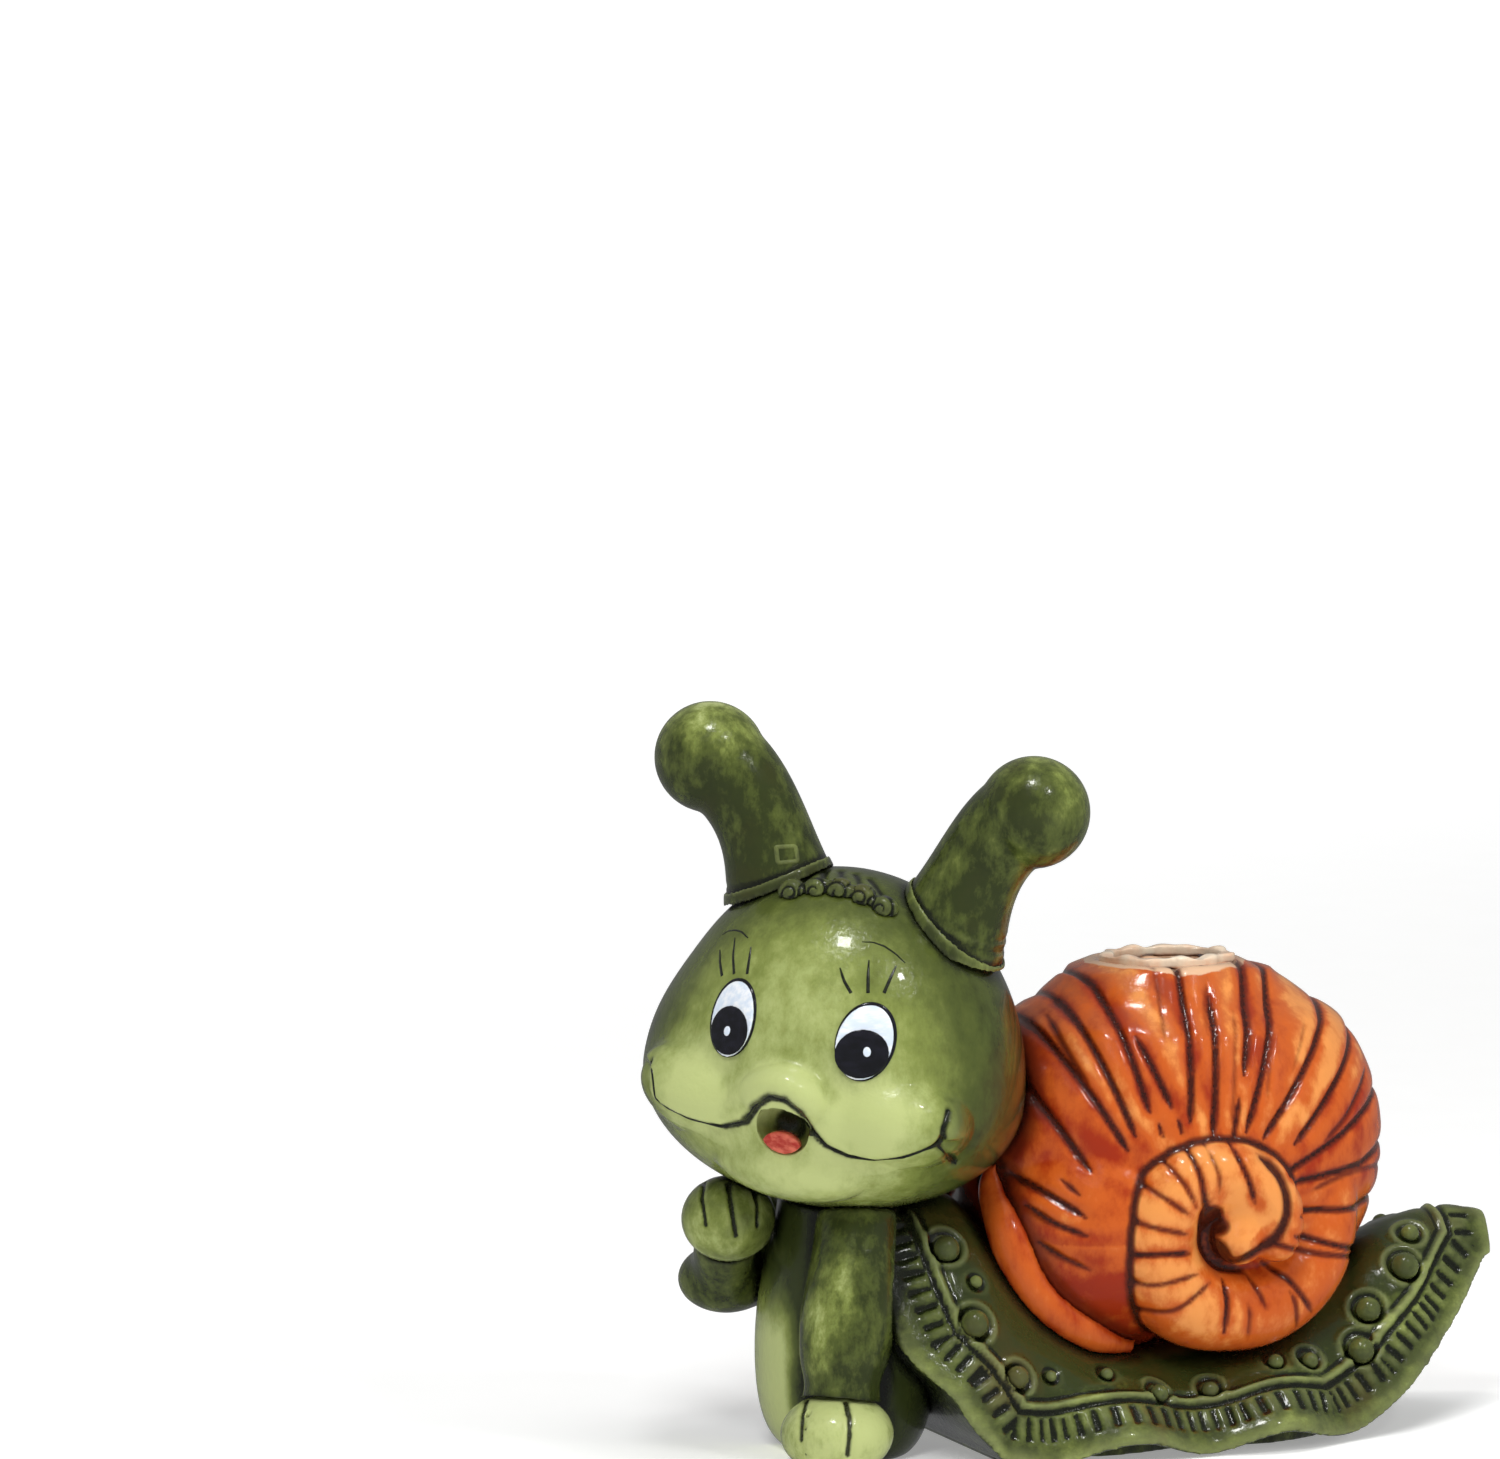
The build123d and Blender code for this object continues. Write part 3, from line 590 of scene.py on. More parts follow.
def strands(name, paths, width, rise, glaze, closed=False):
    """Lines of enamel as one piece. Each path has spots with normals, and a share of the width at each."""
    curve = bpy.data.curves.new(name, "CURVE")
    curve.dimensions = "3D"
    curve.bevel_depth = width / 2
    curve.bevel_resolution = 3
    curve.resolution_u = 4
    curve.use_fill_caps = not closed
    for path, shares in paths:
        spline = curve.splines.new("NURBS")
        spline.points.add(len(path) - 1)
        for point, (spot, normal), share in zip(spline.points, path, shares):
            point.co = (*(spot - normal * (width / 2 * share - rise)), 1)
            point.radius = share
        spline.order_u = 3
        spline.use_endpoint_u = not closed
        spline.use_cyclic_u = closed
    piece = bpy.data.objects.new(name, curve)
    bpy.context.scene.collection.objects.link(piece)
    pick(piece)
    bpy.ops.object.convert(target="MESH")
    piece = bpy.context.object
    piece.data.materials.append(glaze)
    bpy.ops.object.shade_smooth()
    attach(piece, "root")
    piece.select_set(False)
    print(name, len(piece.data.polygons) * 2, "triangles")
    return piece


def taper(count, first, middle, last):
    """Widths along a stroke: thin, full and thin again."""
    return np.interp(np.linspace(0, 1, count), [0, 0.5, 1], [first, middle, last])


# %% Mix the enamels
def enamel(name, low, high, rough):
    """Thick brushed enamel: two close shades in streaks, with a glassy top."""
    paint_pot = Glaze(name)
    brush = paint_pot.noise(1.6 * mm, 4, (3, 1, 1))
    speck = paint_pot.noise(0.5 * mm, 3)
    return paint_pot.finish(paint_pot.mix(paint_pot.step(brush, 0.35, 0.7), low, high), rough + speck * 0.06,
                            brush * 0.6 + speck * 0.2, 0.00005, coat=0.8)


black_enamel = enamel("enamel_black", card(8, 9, 14), card(24, 24, 34), 0.12)
white_enamel = enamel("enamel_white", card(218, 230, 244), card(248, 251, 255), 0.14)
line_enamel = enamel("enamel_line", card(14, 18, 10), card(36, 42, 20), 0.2)
tongue_enamel = enamel("enamel_tongue", card(168, 44, 34), card(214, 108, 84), 0.18)

# %% Brush the smile
def strokes(tree, rows, count, first, middle, last):
    """A path with its widths for each row of pixels."""
    return [(clay_path(tree, row, count), taper(count, first, middle, last)) for row in rows]


head_tree = tree_of(head)
smile_path = strokes(head_tree, [smile_pixels], 60, 0.55, 1.0, 0.8)
dimple_path = strokes(head_tree, [[(949, 1110), (943, 1128), (938, 1146), (956, 1164)]], 16, 0.25, 1.0, 0.25)
strands("smile_line", smile_path + dimple_path, 1.3 * mm, 0.22 * mm, line_enamel)

# %% Brush the brows and lashes
lash_pixels = [[(840, 968), (844, 981), (851, 993)], [(869, 960), (868, 976), (868, 993)],
               [(896, 966), (890, 979), (884, 993)], [(720, 950), (720, 963), (722, 976)],
               [(735, 938), (733, 956), (734, 974)], [(751, 947), (749, 960), (747, 974)]]
brow_pixels = [[(862, 942), (872, 942), (884, 946), (896, 954), (905, 963)],
               [(722, 935), (728, 931), (735, 930), (742, 932), (748, 938)]]
lash_paths = strokes(head_tree, lash_pixels, 10, 0.2, 0.75, 1.0)
strands("lashes", lash_paths, 1.5 * mm, 0.16 * mm, line_enamel)
brow_paths = strokes(head_tree, brow_pixels, 14, 0.25, 1.0, 0.4)
strands("brows", brow_paths, 0.9 * mm, 0.1 * mm, line_enamel)

# %% [markdown]
# ## The eyes
# The white is one thick coat of enamel, and the pupil a second one laid low on it. Both CAD coats are
# copied in very fine grains, so that smoothing gives them the domed edge of a brimming coat. They are
# drawn in a little across: the brush left them slimmer than the mould's marks. A thin black line goes
# round each white, and a small bead of white makes the catchlight.

# %% Lay the eyes
def on_face(x, z):
    """The spot of the head at a place across and up in its own frame, with its normal."""
    start = head_middle + head_turn @ Vector((x * mm, -80 * mm, z * mm))
    return head_tree.ray_cast(start, head_turn @ Vector((0, 1, 0)))[:2]


eye_across, eye_up, eye_half_wide, eye_half_high = 16.0, 16.25, 7.0, 8.5
eye_ways = [2 * pi * i / 40 for i in range(40)]
rims = []
for side, sign in (("left", 1), ("right", -1)):
    white = soft_copy(f"eye_white_{side}", [f"eye_{side}"], 0.25 * mm, 10, white_enamel)
    pupil = soft_copy(f"pupil_black_{side}", [f"pupil_{side}"], 0.22 * mm, 10, black_enamel)
    slim, pupil_slim = (0.88, 0.98) if side == "left" else (0.79, 0.83)
    for coat, share in ((white, slim), (pupil, pupil_slim)):
        spots = in_head(points_of(coat))
        spots[:, 0] = sign * eye_across * mm + (spots[:, 0] - sign * eye_across * mm) * share
        spots[:, 2] = eye_up * mm + (spots[:, 2] - eye_up * mm) * 0.94
        move_points(coat, spots @ np.array(head_turn).T + np.array(head_middle))
    ring = [on_face(sign * eye_across + eye_half_wide * slim * cos(way), eye_up + eye_half_high * sin(way))
            for way in eye_ways]
    rims.append((ring, [0.75 + 0.25 * sin(way) for way in eye_ways]))
strands("eye_rims", rims, 1.3 * mm, 0.5 * mm, black_enamel, closed=True)

# %% Set the catchlights
pupil_tree = tree_of(bpy.data.objects["pupil_black_left"], bpy.data.objects["pupil_black_right"])
drops = []
for x, y in ((867, 1052), (727, 1031)):
    spot, normal = under_pixel(pupil_tree, x, y)
    bpy.ops.object.select_all(action="DESELECT")
    bpy.ops.mesh.primitive_uv_sphere_add(segments=24, ring_count=12, radius=1.0 * mm, location=spot)
    drop = bpy.context.object
    drop.rotation_euler = normal.to_track_quat("Z", "Y").to_euler()
    drop.scale = (0.9, 1.15, 0.25)
    bpy.ops.object.transform_apply(location=True, rotation=True, scale=True)
    bpy.ops.object.shade_smooth()
    drops.append(drop)
for drop in drops:
    drop.select_set(True)
bpy.ops.object.join()
catchlights = bpy.context.object
catchlights.name = catchlights.data.name = "catchlights"
catchlights.data.materials.append(white_enamel)
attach(catchlights, "root")

# %% Fill the mouth
soft_copy("tongue_glazed", ["tongue"], 0.3 * mm, 6, tongue_enamel)

# %% [markdown]
# ## Curls and antennae
# A fringe of pressed pellets sits on the brow. A potter turns each into a curl with a spiral groove.
# The antennae are plain stalks whose character is in the brushwork and in painted shade under the
# knobs, with a raised band round the foot and a few pressed rings. One of them has a small frame
# pressed on its foot, like a buckle.

# %% Turn the curls
curl_reach, curl_top, curl_drop, curl_half, coil_pitch = 11.0, 46.5, 2.0, 3.75, 2.1  # millimetres
curls = soft_copy("curls", ["hair_curls"], 0.35 * mm, 6, cape_glaze)
spots = in_head(points_of(curls)) / mm
carve = np.zeros(len(spots))
for i in range(5):
    share = i / 2 - 1
    across, up = spots[:, 0] - curl_reach * share, spots[:, 2] - curl_top + curl_drop * share**2
    radius = np.hypot(across, up)
    turn = np.arctan2(up, across) / (2 * pi)
    phase = (radius / coil_pitch - turn + 0.3 * i) % 1.0
    groove = bump(phase, 0.5, 0.16) * slope(radius, 0.3, 1.0) * (abs(across) < curl_half)
    carve = np.maximum(carve, groove)
press(curls, -0.45 * mm * carve)
paint(curls, wash=0.85 * carve + 0.9 * touch(curls, nodes("head"), 2.2 * mm) ** 2, ridge=0.25 - 0.25 * carve)

# %% Finish the antennae
foot_across, foot_up, knob_up = 20.0, 37.0, 66.0  # millimetres in the head's own frame
for side, sign in (("left", 1), ("right", -1)):
    antenna = soft_copy(f"antenna_glazed_{side}", [f"antenna_{side}"], 0.7 * mm, 6, dark_glaze)
    cuff = soft_copy(f"cuff_{side}", [f"antenna_cuff_{side}"], 0.4 * mm, 8, dark_glaze)
    spots = in_head(points_of(antenna)) / mm
    climb = (spots[:, 2] - foot_up) + sign * 0.35 * (spots[:, 0] - sign * foot_across)
    rings = bump(climb, 5.5, 0.8) + bump(climb, 8.2, 0.6) * 0.7
    press(antenna, -0.35 * mm * rings)
    bulge = relief(antenna, 20, 0.5 * mm)
    contact = touch(antenna, nodes("head", f"antenna_cuff_{side}"), 3 * mm)
    # Painted shade on the stalk under the knob, and wash with painted shade where the stalk meets the head
    # and its cuff.
    under = slope(knob_up - spots[:, 2], 0, 12) * slope(spots[:, 2], 50, 58)
    paint(antenna, wash=contact**2 * 0.8 + unit(-bulge - 0.15) + rings * 0.3 + under * 0.35)
    paint(antenna, ridge=bulge - 0.25, pale=0.45 * slope(spots[:, 2], 70, 80))
    paint(cuff, ridge=relief(cuff, 6, 0.2 * mm), wash=0.7 * touch(cuff, nodes("head"), 2 * mm))

# %% Press the small buckle
stalk_tree = tree_of(bpy.data.objects["antenna_glazed_right"])
frame_path = clay_path(stalk_tree, [(776, 847), (796, 846), (798, 861), (778, 863), (776, 847)], 25)[:-1]
buckle = strands("antenna_buckle", [(frame_path, [1.0] * 24)], 1.4 * mm, 0.25 * mm,
                 dark_glaze, closed=True)
paint(buckle, pale=0, deep=0, wash=0, ridge=0.4)

# %% [markdown]
# ## Torso, arms and paws
# The body is dark, partly because the brush went over it more than once and partly from painted
# shade at its sides and foot, with a pale belly in front. The paws and the hand were left in the
# light coat, with stain in the lines between the toes, and painted shade where they meet their
# neighbours.

# %% Finish the torso
torso = soft_copy("torso_glazed", ["torso"], 0.8 * mm, 6, skin_glaze)
torso_middle = -55.2
belly_reach, belly_top = 0.78, 46.0  # half its width in radians, and its upper edge in millimetres
spots = points_of(torso) / mm
bulge = relief(torso, 20, 0.5 * mm)
contact = touch(torso, nodes("head", "arm_left", "arm_right", "mantle", "paw_left", "hand_right"), 7 * mm)
way = np.arctan2(middle_plane - spots[:, 1], torso_middle - spots[:, 0])
belly = slope(belly_reach - abs(way), 0.0, 0.4) * slope(belly_top - spots[:, 2], 0, 22)
# Painted shade: all but the belly is darker, and more so at the foot and where the torso meets the head,
# arms, cape, paw and hand.
paint(torso, pale=belly * 0.75, deep=1 - belly)
paint(torso, wash=contact**2 * 0.8 + 0.45 * (1 - belly) * slope(spots[:, 2], 4, 0)
      + unit(-bulge) * 0.8)

# %% Finish the arms and paws
# each crease with its width in millimetres and its pixels
toe_creases = [(0.9, (846, 1402), (850, 1418), (850, 1436), (848, 1456)),
               (0.8, (806, 1400), (802, 1414), (800, 1440))]
finger_creases = [(0.7, (728, 1184), (731, 1206), (736, 1236)), (0.6, (704, 1180), (701, 1197), (705, 1225)),
                  (0.6, (753, 1188), (758, 1205), (758, 1226))]


def finish_limb(name, node, grain, glaze, deep, pale, neighbours, creases=()):
    """A limb in soft clay, with wash and painted shade at its joints and stain in its pressed lines."""
    limb = soft_copy(name, [node], grain, 5, glaze)
    if node.startswith("arm"):
        soften(limb, np.ones(len(limb.data.vertices)), 45)
        height = points_of(limb)[:, 2] / mm
        if node == "arm_left":
            press(limb, (1.0 * bump(height, 36, 9) - 1.6 * bump(height, 19, 5)) * mm)
    tree = tree_of(limb)
    crease = np.zeros(len(limb.data.vertices))
    for width, *pixels in creases:
        path = np.array([spot for spot, _ in clay_path(tree, pixels, 16)])
        crease = np.maximum(crease, bump(from_line(points_of(limb), path)[0], 0, width * mm))
    press(limb, -0.7 * mm * crease)
    bulge = relief(limb, 16, 0.35 * mm)
    # Wash and painted shade where the limb meets its neighbours, and stain in its creases and hollows.
    contact = touch(limb, nodes(*neighbours), 4.5 * mm)
    paint(limb, wash=contact**2 * 0.85 + unit(-bulge - 0.12) * 0.9 + 0.75 * crease)
    paint(limb, ridge=bulge - 0.25, deep=deep, pale=pale)
    return limb


arm = finish_limb("arm_glazed_left", "arm_left", 0.7 * mm, dark_glaze, 0.3, 0.0,
                  ["torso", "paw_left", "mantle", "head"])
spots = points_of(arm) / mm
# A painted highlight on the front of the upper arm, and painted shade on the rest of it.
knob_front = np.array(under_pixel(tree_of(arm), 830, 1300)[0]) / mm
lit_bulge = bump(np.linalg.norm((spots - knob_front) / (8, 8, 13), axis=1), 0, 1)
paint(arm, pale=0.8 * lit_bulge, deep=0.35 - 0.35 * lit_bulge)
finish_limb("arm_glazed_right", "arm_right", 0.7 * mm, dark_glaze, 0.2, 0.0,
            ["torso", "hand_right", "head", "mantle"])
finish_limb("paw_glazed_left", "paw_left", 0.5 * mm, paw_glaze, 0.0, 0.25,
            ["torso", "mantle"], toe_creases)
finish_limb("hand_glazed_right", "hand_right", 0.5 * mm, paw_glaze, 0.15, 0.1,
            ["torso", "arm_right", "head"], finger_creases)

# %% [markdown]
# ## The frilled cape
# The cape's edge is a rounded hem, then a band of short tool marks, then a double line, and beads
# inside it. All of these follow the edge, so the edge is worked out first from the cape's own widths
# and heights. Each point then knows how far it is from the edge and how far along, and that is all
# the pattern needs.

# %% Find the cape's edge
cape_start, cape_length, cape_width, cape_height = -59.2, 166.0, 45.0, 60.0
frill_length, frill = 40.0, 2.4
# shares of the cape's sizes: the way along, the height of the crest, half the width, the height of the hem
cape_rows = np.array([
    (0.000, 1.10, 0.89, 0.01), (0.060, 1.08, 0.93, 0.01), (0.115, 1.05, 0.96, 0.01),
    (0.175, 0.98, 0.98, 0.01), (0.235, 0.80, 1.00, 0.01), (0.295, 0.60, 1.00, 0.01),
    (0.355, 0.47, 1.00, 0.01), (0.536, 0.42, 0.97, 0.01), (0.687, 0.54, 0.85, 0.02),
    (0.807, 0.73, 0.62, 0.12), (0.898, 0.81, 0.40, 0.34), (0.965, 0.82, 0.22, 0.54),
    (1.000, 0.79, 0.12, 0.62)])
# from hem to crest, the share of the half width that is left; and the front edge, along and up
cape_outline = np.array([(0.00, 1.00), (0.10, 0.98), (0.36, 0.87), (0.63, 0.68), (0.89, 0.40), (1.00, 0.00)])
cape_front = [(0.180, -0.10), (0.145, 0.09), (0.124, 0.15), (0.095, 0.28), (0.045, 0.42), (0.022, 0.64),
              (0.003, 0.90), (-0.004, 1.20)]


def cape_row(along):
    """Crest height, half width and hem height of the cape, in millimetres."""
    crest, wide, hem = [np.interp(along, cape_rows[:, 0], column) for column in cape_rows[:, 1:].T]
    wave, fade = sin(2 * pi * (along * cape_length / frill_length - 0.22)), sin(pi * min(max(along, 0), 1))
    return (crest * cape_height, wide * cape_width + fade * frill * wave,
            hem * cape_height + fade * 2.3 * (1 + wave))


def cape_spot(along, height):
    """The place on the cape's left side at a way along and a height."""
    crest, wide, hem = cape_row(along)
    share = unit((height - hem) / (crest - hem))
    across = np.interp(share, cape_outline[:, 0], cape_outline[:, 1])
    return (cape_start + along * cape_length, -across * wide, height)


def on_left(spots):
    """The spots in millimetres with the right half folded over to the left, and y from the middle plane."""
    return np.column_stack([spots[:, 0], -abs(spots[:, 1] - middle_plane), spots[:, 2]])


edge = [cape_spot(along, up * cape_height) for along, up in cape_front[::-1] if 0.1 < up < 1.1]
edge += [cape_spot(along, cape_row(along)[2]) for along in np.linspace(0.15, 1.0, 60)]
edge += [cape_spot(1.0, cape_row(1.0)[2] + share * 10.0) for share in (0.33, 0.66, 1.0)]
edge = np.array(edge)

# %% Press the cape's border
# how far in from the edge each part of the border lies, and how far apart the slots are, in millimetres
hem_roll, band_start, band_end, near_line, ridge, far_line, slot_pitch = 2.2, 5.0, 11.3, 12.2, 13.8, 15.4, 4.1
cape = soft_copy("cape_glazed", ["mantle"], 0.8 * mm, 6, cape_glaze)
inset, along = from_line(on_left(points_of(cape) / mm), edge)
soften(cape, bump(inset, 12.4, 2.0) * (normals_of(cape)[:, 2] > -0.35), 20)
outside = (normals_of(cape)[:, 2] > -0.35).astype(float) * slope(relief(cape, 30, 1.0 * mm), -3, -2)
rim_roll = bump(inset, hem_roll, 2.4)
band = slope(inset, band_start, band_start + 1) * slope(band_end - inset, 0, 0.8)
phase = (along / slot_pitch + 0.18 * np.sin(along / 6.3)) % 1.0
slots = bump(phase, 0.5, 0.2) * band
line_in, ridge_in, line_far = bump(inset, near_line, 0.7), bump(inset, ridge, 0.9), bump(inset, far_line, 0.7)
press(cape, outside * (0.5 * rim_roll - 0.95 * slots - 0.9 * line_in + 0.65 * ridge_in - 0.4 * line_far) * mm)

# %% Ring the beads
# each bead's way along the cape, its share of the height from hem to crest, and its size
bead_rows = [
    (0.120, 0.78, 1.00), (0.155, 0.68, 0.50), (0.140, 0.52, 1.05), (0.195, 0.36, 0.85), (0.250, 0.44, 0.45),
    (0.340, 0.60, 0.50), (0.415, 0.50, 0.70), (0.500, 0.54, 0.65), (0.605, 0.64, 0.60), (0.660, 0.58, 0.65),
    (0.745, 0.48, 1.00), (0.770, 0.66, 0.95), (0.840, 0.74, 1.05), (0.865, 0.90, 0.70)]
bead_radius = 3.2
beads = soft_copy("cape_beads", ["mantle_beads"], 0.4 * mm, 4, cape_glaze)
spots = points_of(cape) / mm
ring_groove, ring_ridge = np.zeros(len(spots)), np.zeros(len(spots))
for row_along, up, size in bead_rows:
    crest, wide, hem = cape_row(row_along)
    middle = np.array(cape_spot(row_along, hem + up * (crest - hem)))
    away = np.linalg.norm(on_left(spots) - middle, axis=1) - size * bead_radius
    ring_groove = np.maximum(ring_groove, bump(away, 0.5, 0.6))
    ring_ridge = np.maximum(ring_ridge, bump(away, 2.0, 0.8) * (size > 0.6))
press(cape, (0.45 * ring_ridge - 0.4 * ring_groove) * mm)

# %% Paint the cape
bulge = relief(cape, 16, 0.45 * mm)
contact = touch(cape, nodes("shell_pot", "shell_lip_left", "shell_lip_right", "torso", "head", "arm_left",
                            "shell_coil_left", "shell_coil_right"), 8 * mm)
low = slope(-spots[:, 2], -9, 0)
# Painted shade where the cape meets the shell, lips, whorls, body, head and arm, and on its faces that look
# down.
paint(cape, wash=outside * (0.9 * slots + 0.9 * line_in + 0.45 * line_far) + 0.7 * ring_groove
      + contact**1.5 * 0.95 + unit(-bulge - 0.12) * 0.8 + (1 - outside) * 0.5)
paint(cape, ridge=unit(bulge - 0.15) * 0.7 + 0.2 * rim_roll * outside + 0.2 * ridge_in)
# Darker where it meets those pieces, which is painted shade, further in from the edge, and towards the
# bottom.
paint(cape, pale=0.1 * rim_roll * outside, deep=0.6 * contact + 0.5 * slope(inset, 14, 22) + 0.15 * low)
paint(beads, wash=0.8 * touch(beads, [cape], 1.6 * mm), ridge=relief(beads, 10, 0.4 * mm))
sole = soft_copy("sole_glazed", ["sole"], 1.0 * mm, 4, dark_glaze)
# The sole is darkened all over: painted shade, as it sits in the shadow under the hem.
paint(sole, wash=0.35)

# %% [markdown]
# ## Orange glaze
# The shell went through the same steps in warm colours: orange over buff clay, brown in the pressed
# lines, and a rosy tan where the coat is thin on top. The masks "ember" and "glow" make it deeper or
# paler, and "cream" is the bare clay round the mouth. The dark mask and "ember" also hold painted
# shade near the head and where pieces meet, and "glow" a painted highlight on the whorls. The lip is
# a clean coat of red-orange.

# %% Mix the oranges
buff, orange, red_orange = card(236, 152, 78), card(202, 92, 30), card(158, 44, 10)
rosy_tan, wash_and_shade_brown, deep_brown = card(190, 108, 62), card(96, 28, 9), card(48, 13, 6)


def orange_glaze(name, shade_of_coat, streak=(1, 1, 1)):
    """An orange from the family. Shade 0 is buff, and 1 is the deepest red-orange."""
    warm = Glaze(name)
    wash, ridge, glow, rosy = warm.mask("wash"), warm.mask("ridge"), warm.mask("glow"), warm.mask("rosy")
    cloud = warm.noise(20 * mm, 3)
    brush = warm.noise(5 * mm, 5, streak, 0.6)
    speck = warm.noise(1.1 * mm, 4)
    shade = shade_of_coat + (cloud - 0.5) * 0.9 + (brush - 0.5) * 1.1 + warm.mask("ember") * 0.5
    shade = (shade - glow * 0.45 - ridge * 0.2).clear()
    coat = warm.mix(warm.step(shade, 0.05, 0.5), buff, orange)
    coat = warm.mix(warm.step(shade, 0.5, 1.0), coat, red_orange)
    coat = warm.mix((rosy * warm.step(brush, 0.3, 0.6)).clear() * 0.6, coat, rosy_tan)
    coat = warm.mix(warm.step(warm.mask("cream") + (brush - 0.5) * 0.9, 0.4, 0.6), coat, card(228, 186, 150))
    # Brown round the lines is wash; near the head and where pieces meet it is painted shade.
    halo = warm.step(wash + (brush - 0.5) * 0.3, 0.1, 0.75)
    coat = warm.mix(halo * 0.85, coat, wash_and_shade_brown)
    stain_and_shade = warm.step(wash + (speck - 0.5) * 0.2, 0.7, 1.08)
    coat = warm.mix(stain_and_shade * 0.95, coat, deep_brown)
    rough = 0.14 + speck * 0.08 + stain_and_shade * 0.08
    height = speck * 0.25 + brush * 0.6 + warm.noise(2.4 * mm, 2) * 0.5
    return warm.finish(coat, rough, height, 0.00018)


shell_glaze = orange_glaze("glaze_shell", 0.55, (1, 1, 1.5))
lip_glaze = orange_glaze("glaze_lip", 0.82, (1, 1, 2.0))

# %% [markdown]
# ## The shell
# Some forty lines were pressed from the middle of the shell outwards, no two alike, and nine shorter
# ones across the inner whorl, which ends in a hook. Sixteen are in the solid too. The others are drawn
# through pixels of the photograph, and found on the clay. Seen along the shell's axle, a line is the
# same on both halves of the mould, so both sides get it. The clay was smoothed over where pot and
# whorls meet, so they are one soft copy, and a mask tells them apart.

# %% Draw the shell's lines
shell_nodes = ["shell_pot", "shell_coil_left", "shell_coil_right"]
shell = soft_copy("shell_glazed", shell_nodes, 0.7 * mm, 6, shell_glaze)
thin_inside(shell, 25 * mm, 0.62)
pot_tree, coil_tree, shell_tree = [
    tree_of(*nodes(*names)) for names in (shell_nodes[:1], shell_nodes[1:2], shell_nodes[:2])]
shell_middle = np.array([24.8, middle_plane, 68.0])
# the main lines are in the solid too: distances from the whorl's middle in millimetres, and angles
whorl_middle = np.array([29.1, 49.87])
main_lines = [
    [(68, 130), (34, 141)], [(68, 122), (35, 135)], [(70, 114), (37, 125)], [(52, 115), (35, 117)],
    [(70, 96), (30, 113)], [(56, 92), (25, 105)], [(66, 81), (38, 86)], [(66, 74), (25, 85)],
    [(64, 58), (24, 74)], [(60, 48), (26, 54)], [(58, 33), (38, 36), (19, 49)],
    [(56, 20), (39, 21), (19, 39)], [(52, 6), (37, 6), (15, 20)], [(50, -12), (36, -10), (12, 3)],
    [(62, 141), (39, 154)], [(52, 163), (38, 170)]]
# depth of the line, how far it runs on past its first pixel in millimetres, and its pixels
pot_lines = [
    (0.6, 0, (1044, 1011), (1068, 1054), (1088, 1087)),
    (0.35, 3, (1156, 978), (1163, 1014), (1165, 1042)),
    (0.8, 0, (1240, 1098), (1234, 1139)),
    (0.5, 8, (1246, 981), (1250, 1031), (1244, 1075)),
    (0.35, 0, (1236, 1008), (1235, 1070), (1233, 1128)),
    (0.35, 0, (1272, 1024), (1270, 1070), (1267, 1102)),
    (0.3, 0, (1306, 1019), (1300, 1050), (1293, 1071)),
    (0.3, 0, (1207, 977), (1208, 1034)),
    (0.3, 0, (1181, 972), (1183, 1034)),
    (0.8, 0, (1062, 1180), (1079, 1195)),
    (0.8, 2, (1036, 1212), (1051, 1223), (1088, 1237)),
    (0.6, 0, (1040, 1243), (1060, 1257), (1090, 1271)),
    (0.9, 0, (1159, 1124), (1163, 1137)),
    (1.0, 0, (1179, 1120), (1183, 1134)),
]
low_lines = [
    (0.6, 6, (1360, 1090), (1347, 1118), (1326, 1141)),
    (0.5, 9, (1380, 1163), (1346, 1174), (1312, 1191)),
    (0.8, 9, (1355, 1257), (1318, 1254), (1269, 1244)),
    (0.9, 5, (1305, 1299), (1290, 1279), (1262, 1263)),
    (0.7, 2, (1298, 1322), (1297, 1303), (1290, 1291)),
    (0.7, 0, (1267, 1309), (1260, 1292), (1246, 1274)),
    (1.0, 2, (1226, 1326), (1229, 1301), (1223, 1279)),
    (0.5, 2, (1249, 1334), (1251, 1315), (1248, 1303)),
]
coil_lines = [
    (0.8, 2, (1189, 1152), (1201, 1174), (1207, 1211)), (0.5, 2, (1211, 1155), (1220, 1174), (1220, 1194)),
    (0.9, 2, (1236, 1152), (1249, 1177), (1255, 1204)), (0.6, 2, (1166, 1163), (1186, 1185), (1197, 1208)),
    (0.6, 2, (1141, 1183), (1166, 1199), (1191, 1216)), (0.6, 2, (1118, 1216), (1152, 1228), (1189, 1235)),
    (0.9, 2, (1109, 1253), (1147, 1256), (1191, 1253)), (0.6, 2, (1113, 1281), (1155, 1288), (1199, 1274)),
    (0.6, 2, (1130, 1309), (1175, 1315), (1211, 1282)),
]
hook_lines = [
    (1.0, 0, (1262, 1157), (1278, 1170), (1288, 1192), (1289, 1215), (1279, 1236), (1259, 1252), (1236, 1265),
     (1216, 1260), (1205, 1243), (1202, 1222), (1208, 1206)),
]


def drawn(tree, rows):
    """Each line's depth with its spots seen along the shell's axle, the first one carried on outwards."""
    lines = []
    for depth, run_on, *pixels in rows:
        path = np.array([spot for spot, _ in clay_path(tree, pixels, 4 * len(pixels))])[:, [0, 2]] / mm
        for _ in range(4):
            path[1:-1] = (path[:-2] + 2 * path[1:-1] + path[2:]) / 4
        out = (path[0] - path[1]) / np.linalg.norm(path[0] - path[1])
        lines.append((depth, np.vstack([path[0] + out * run_on, path])))
    return lines


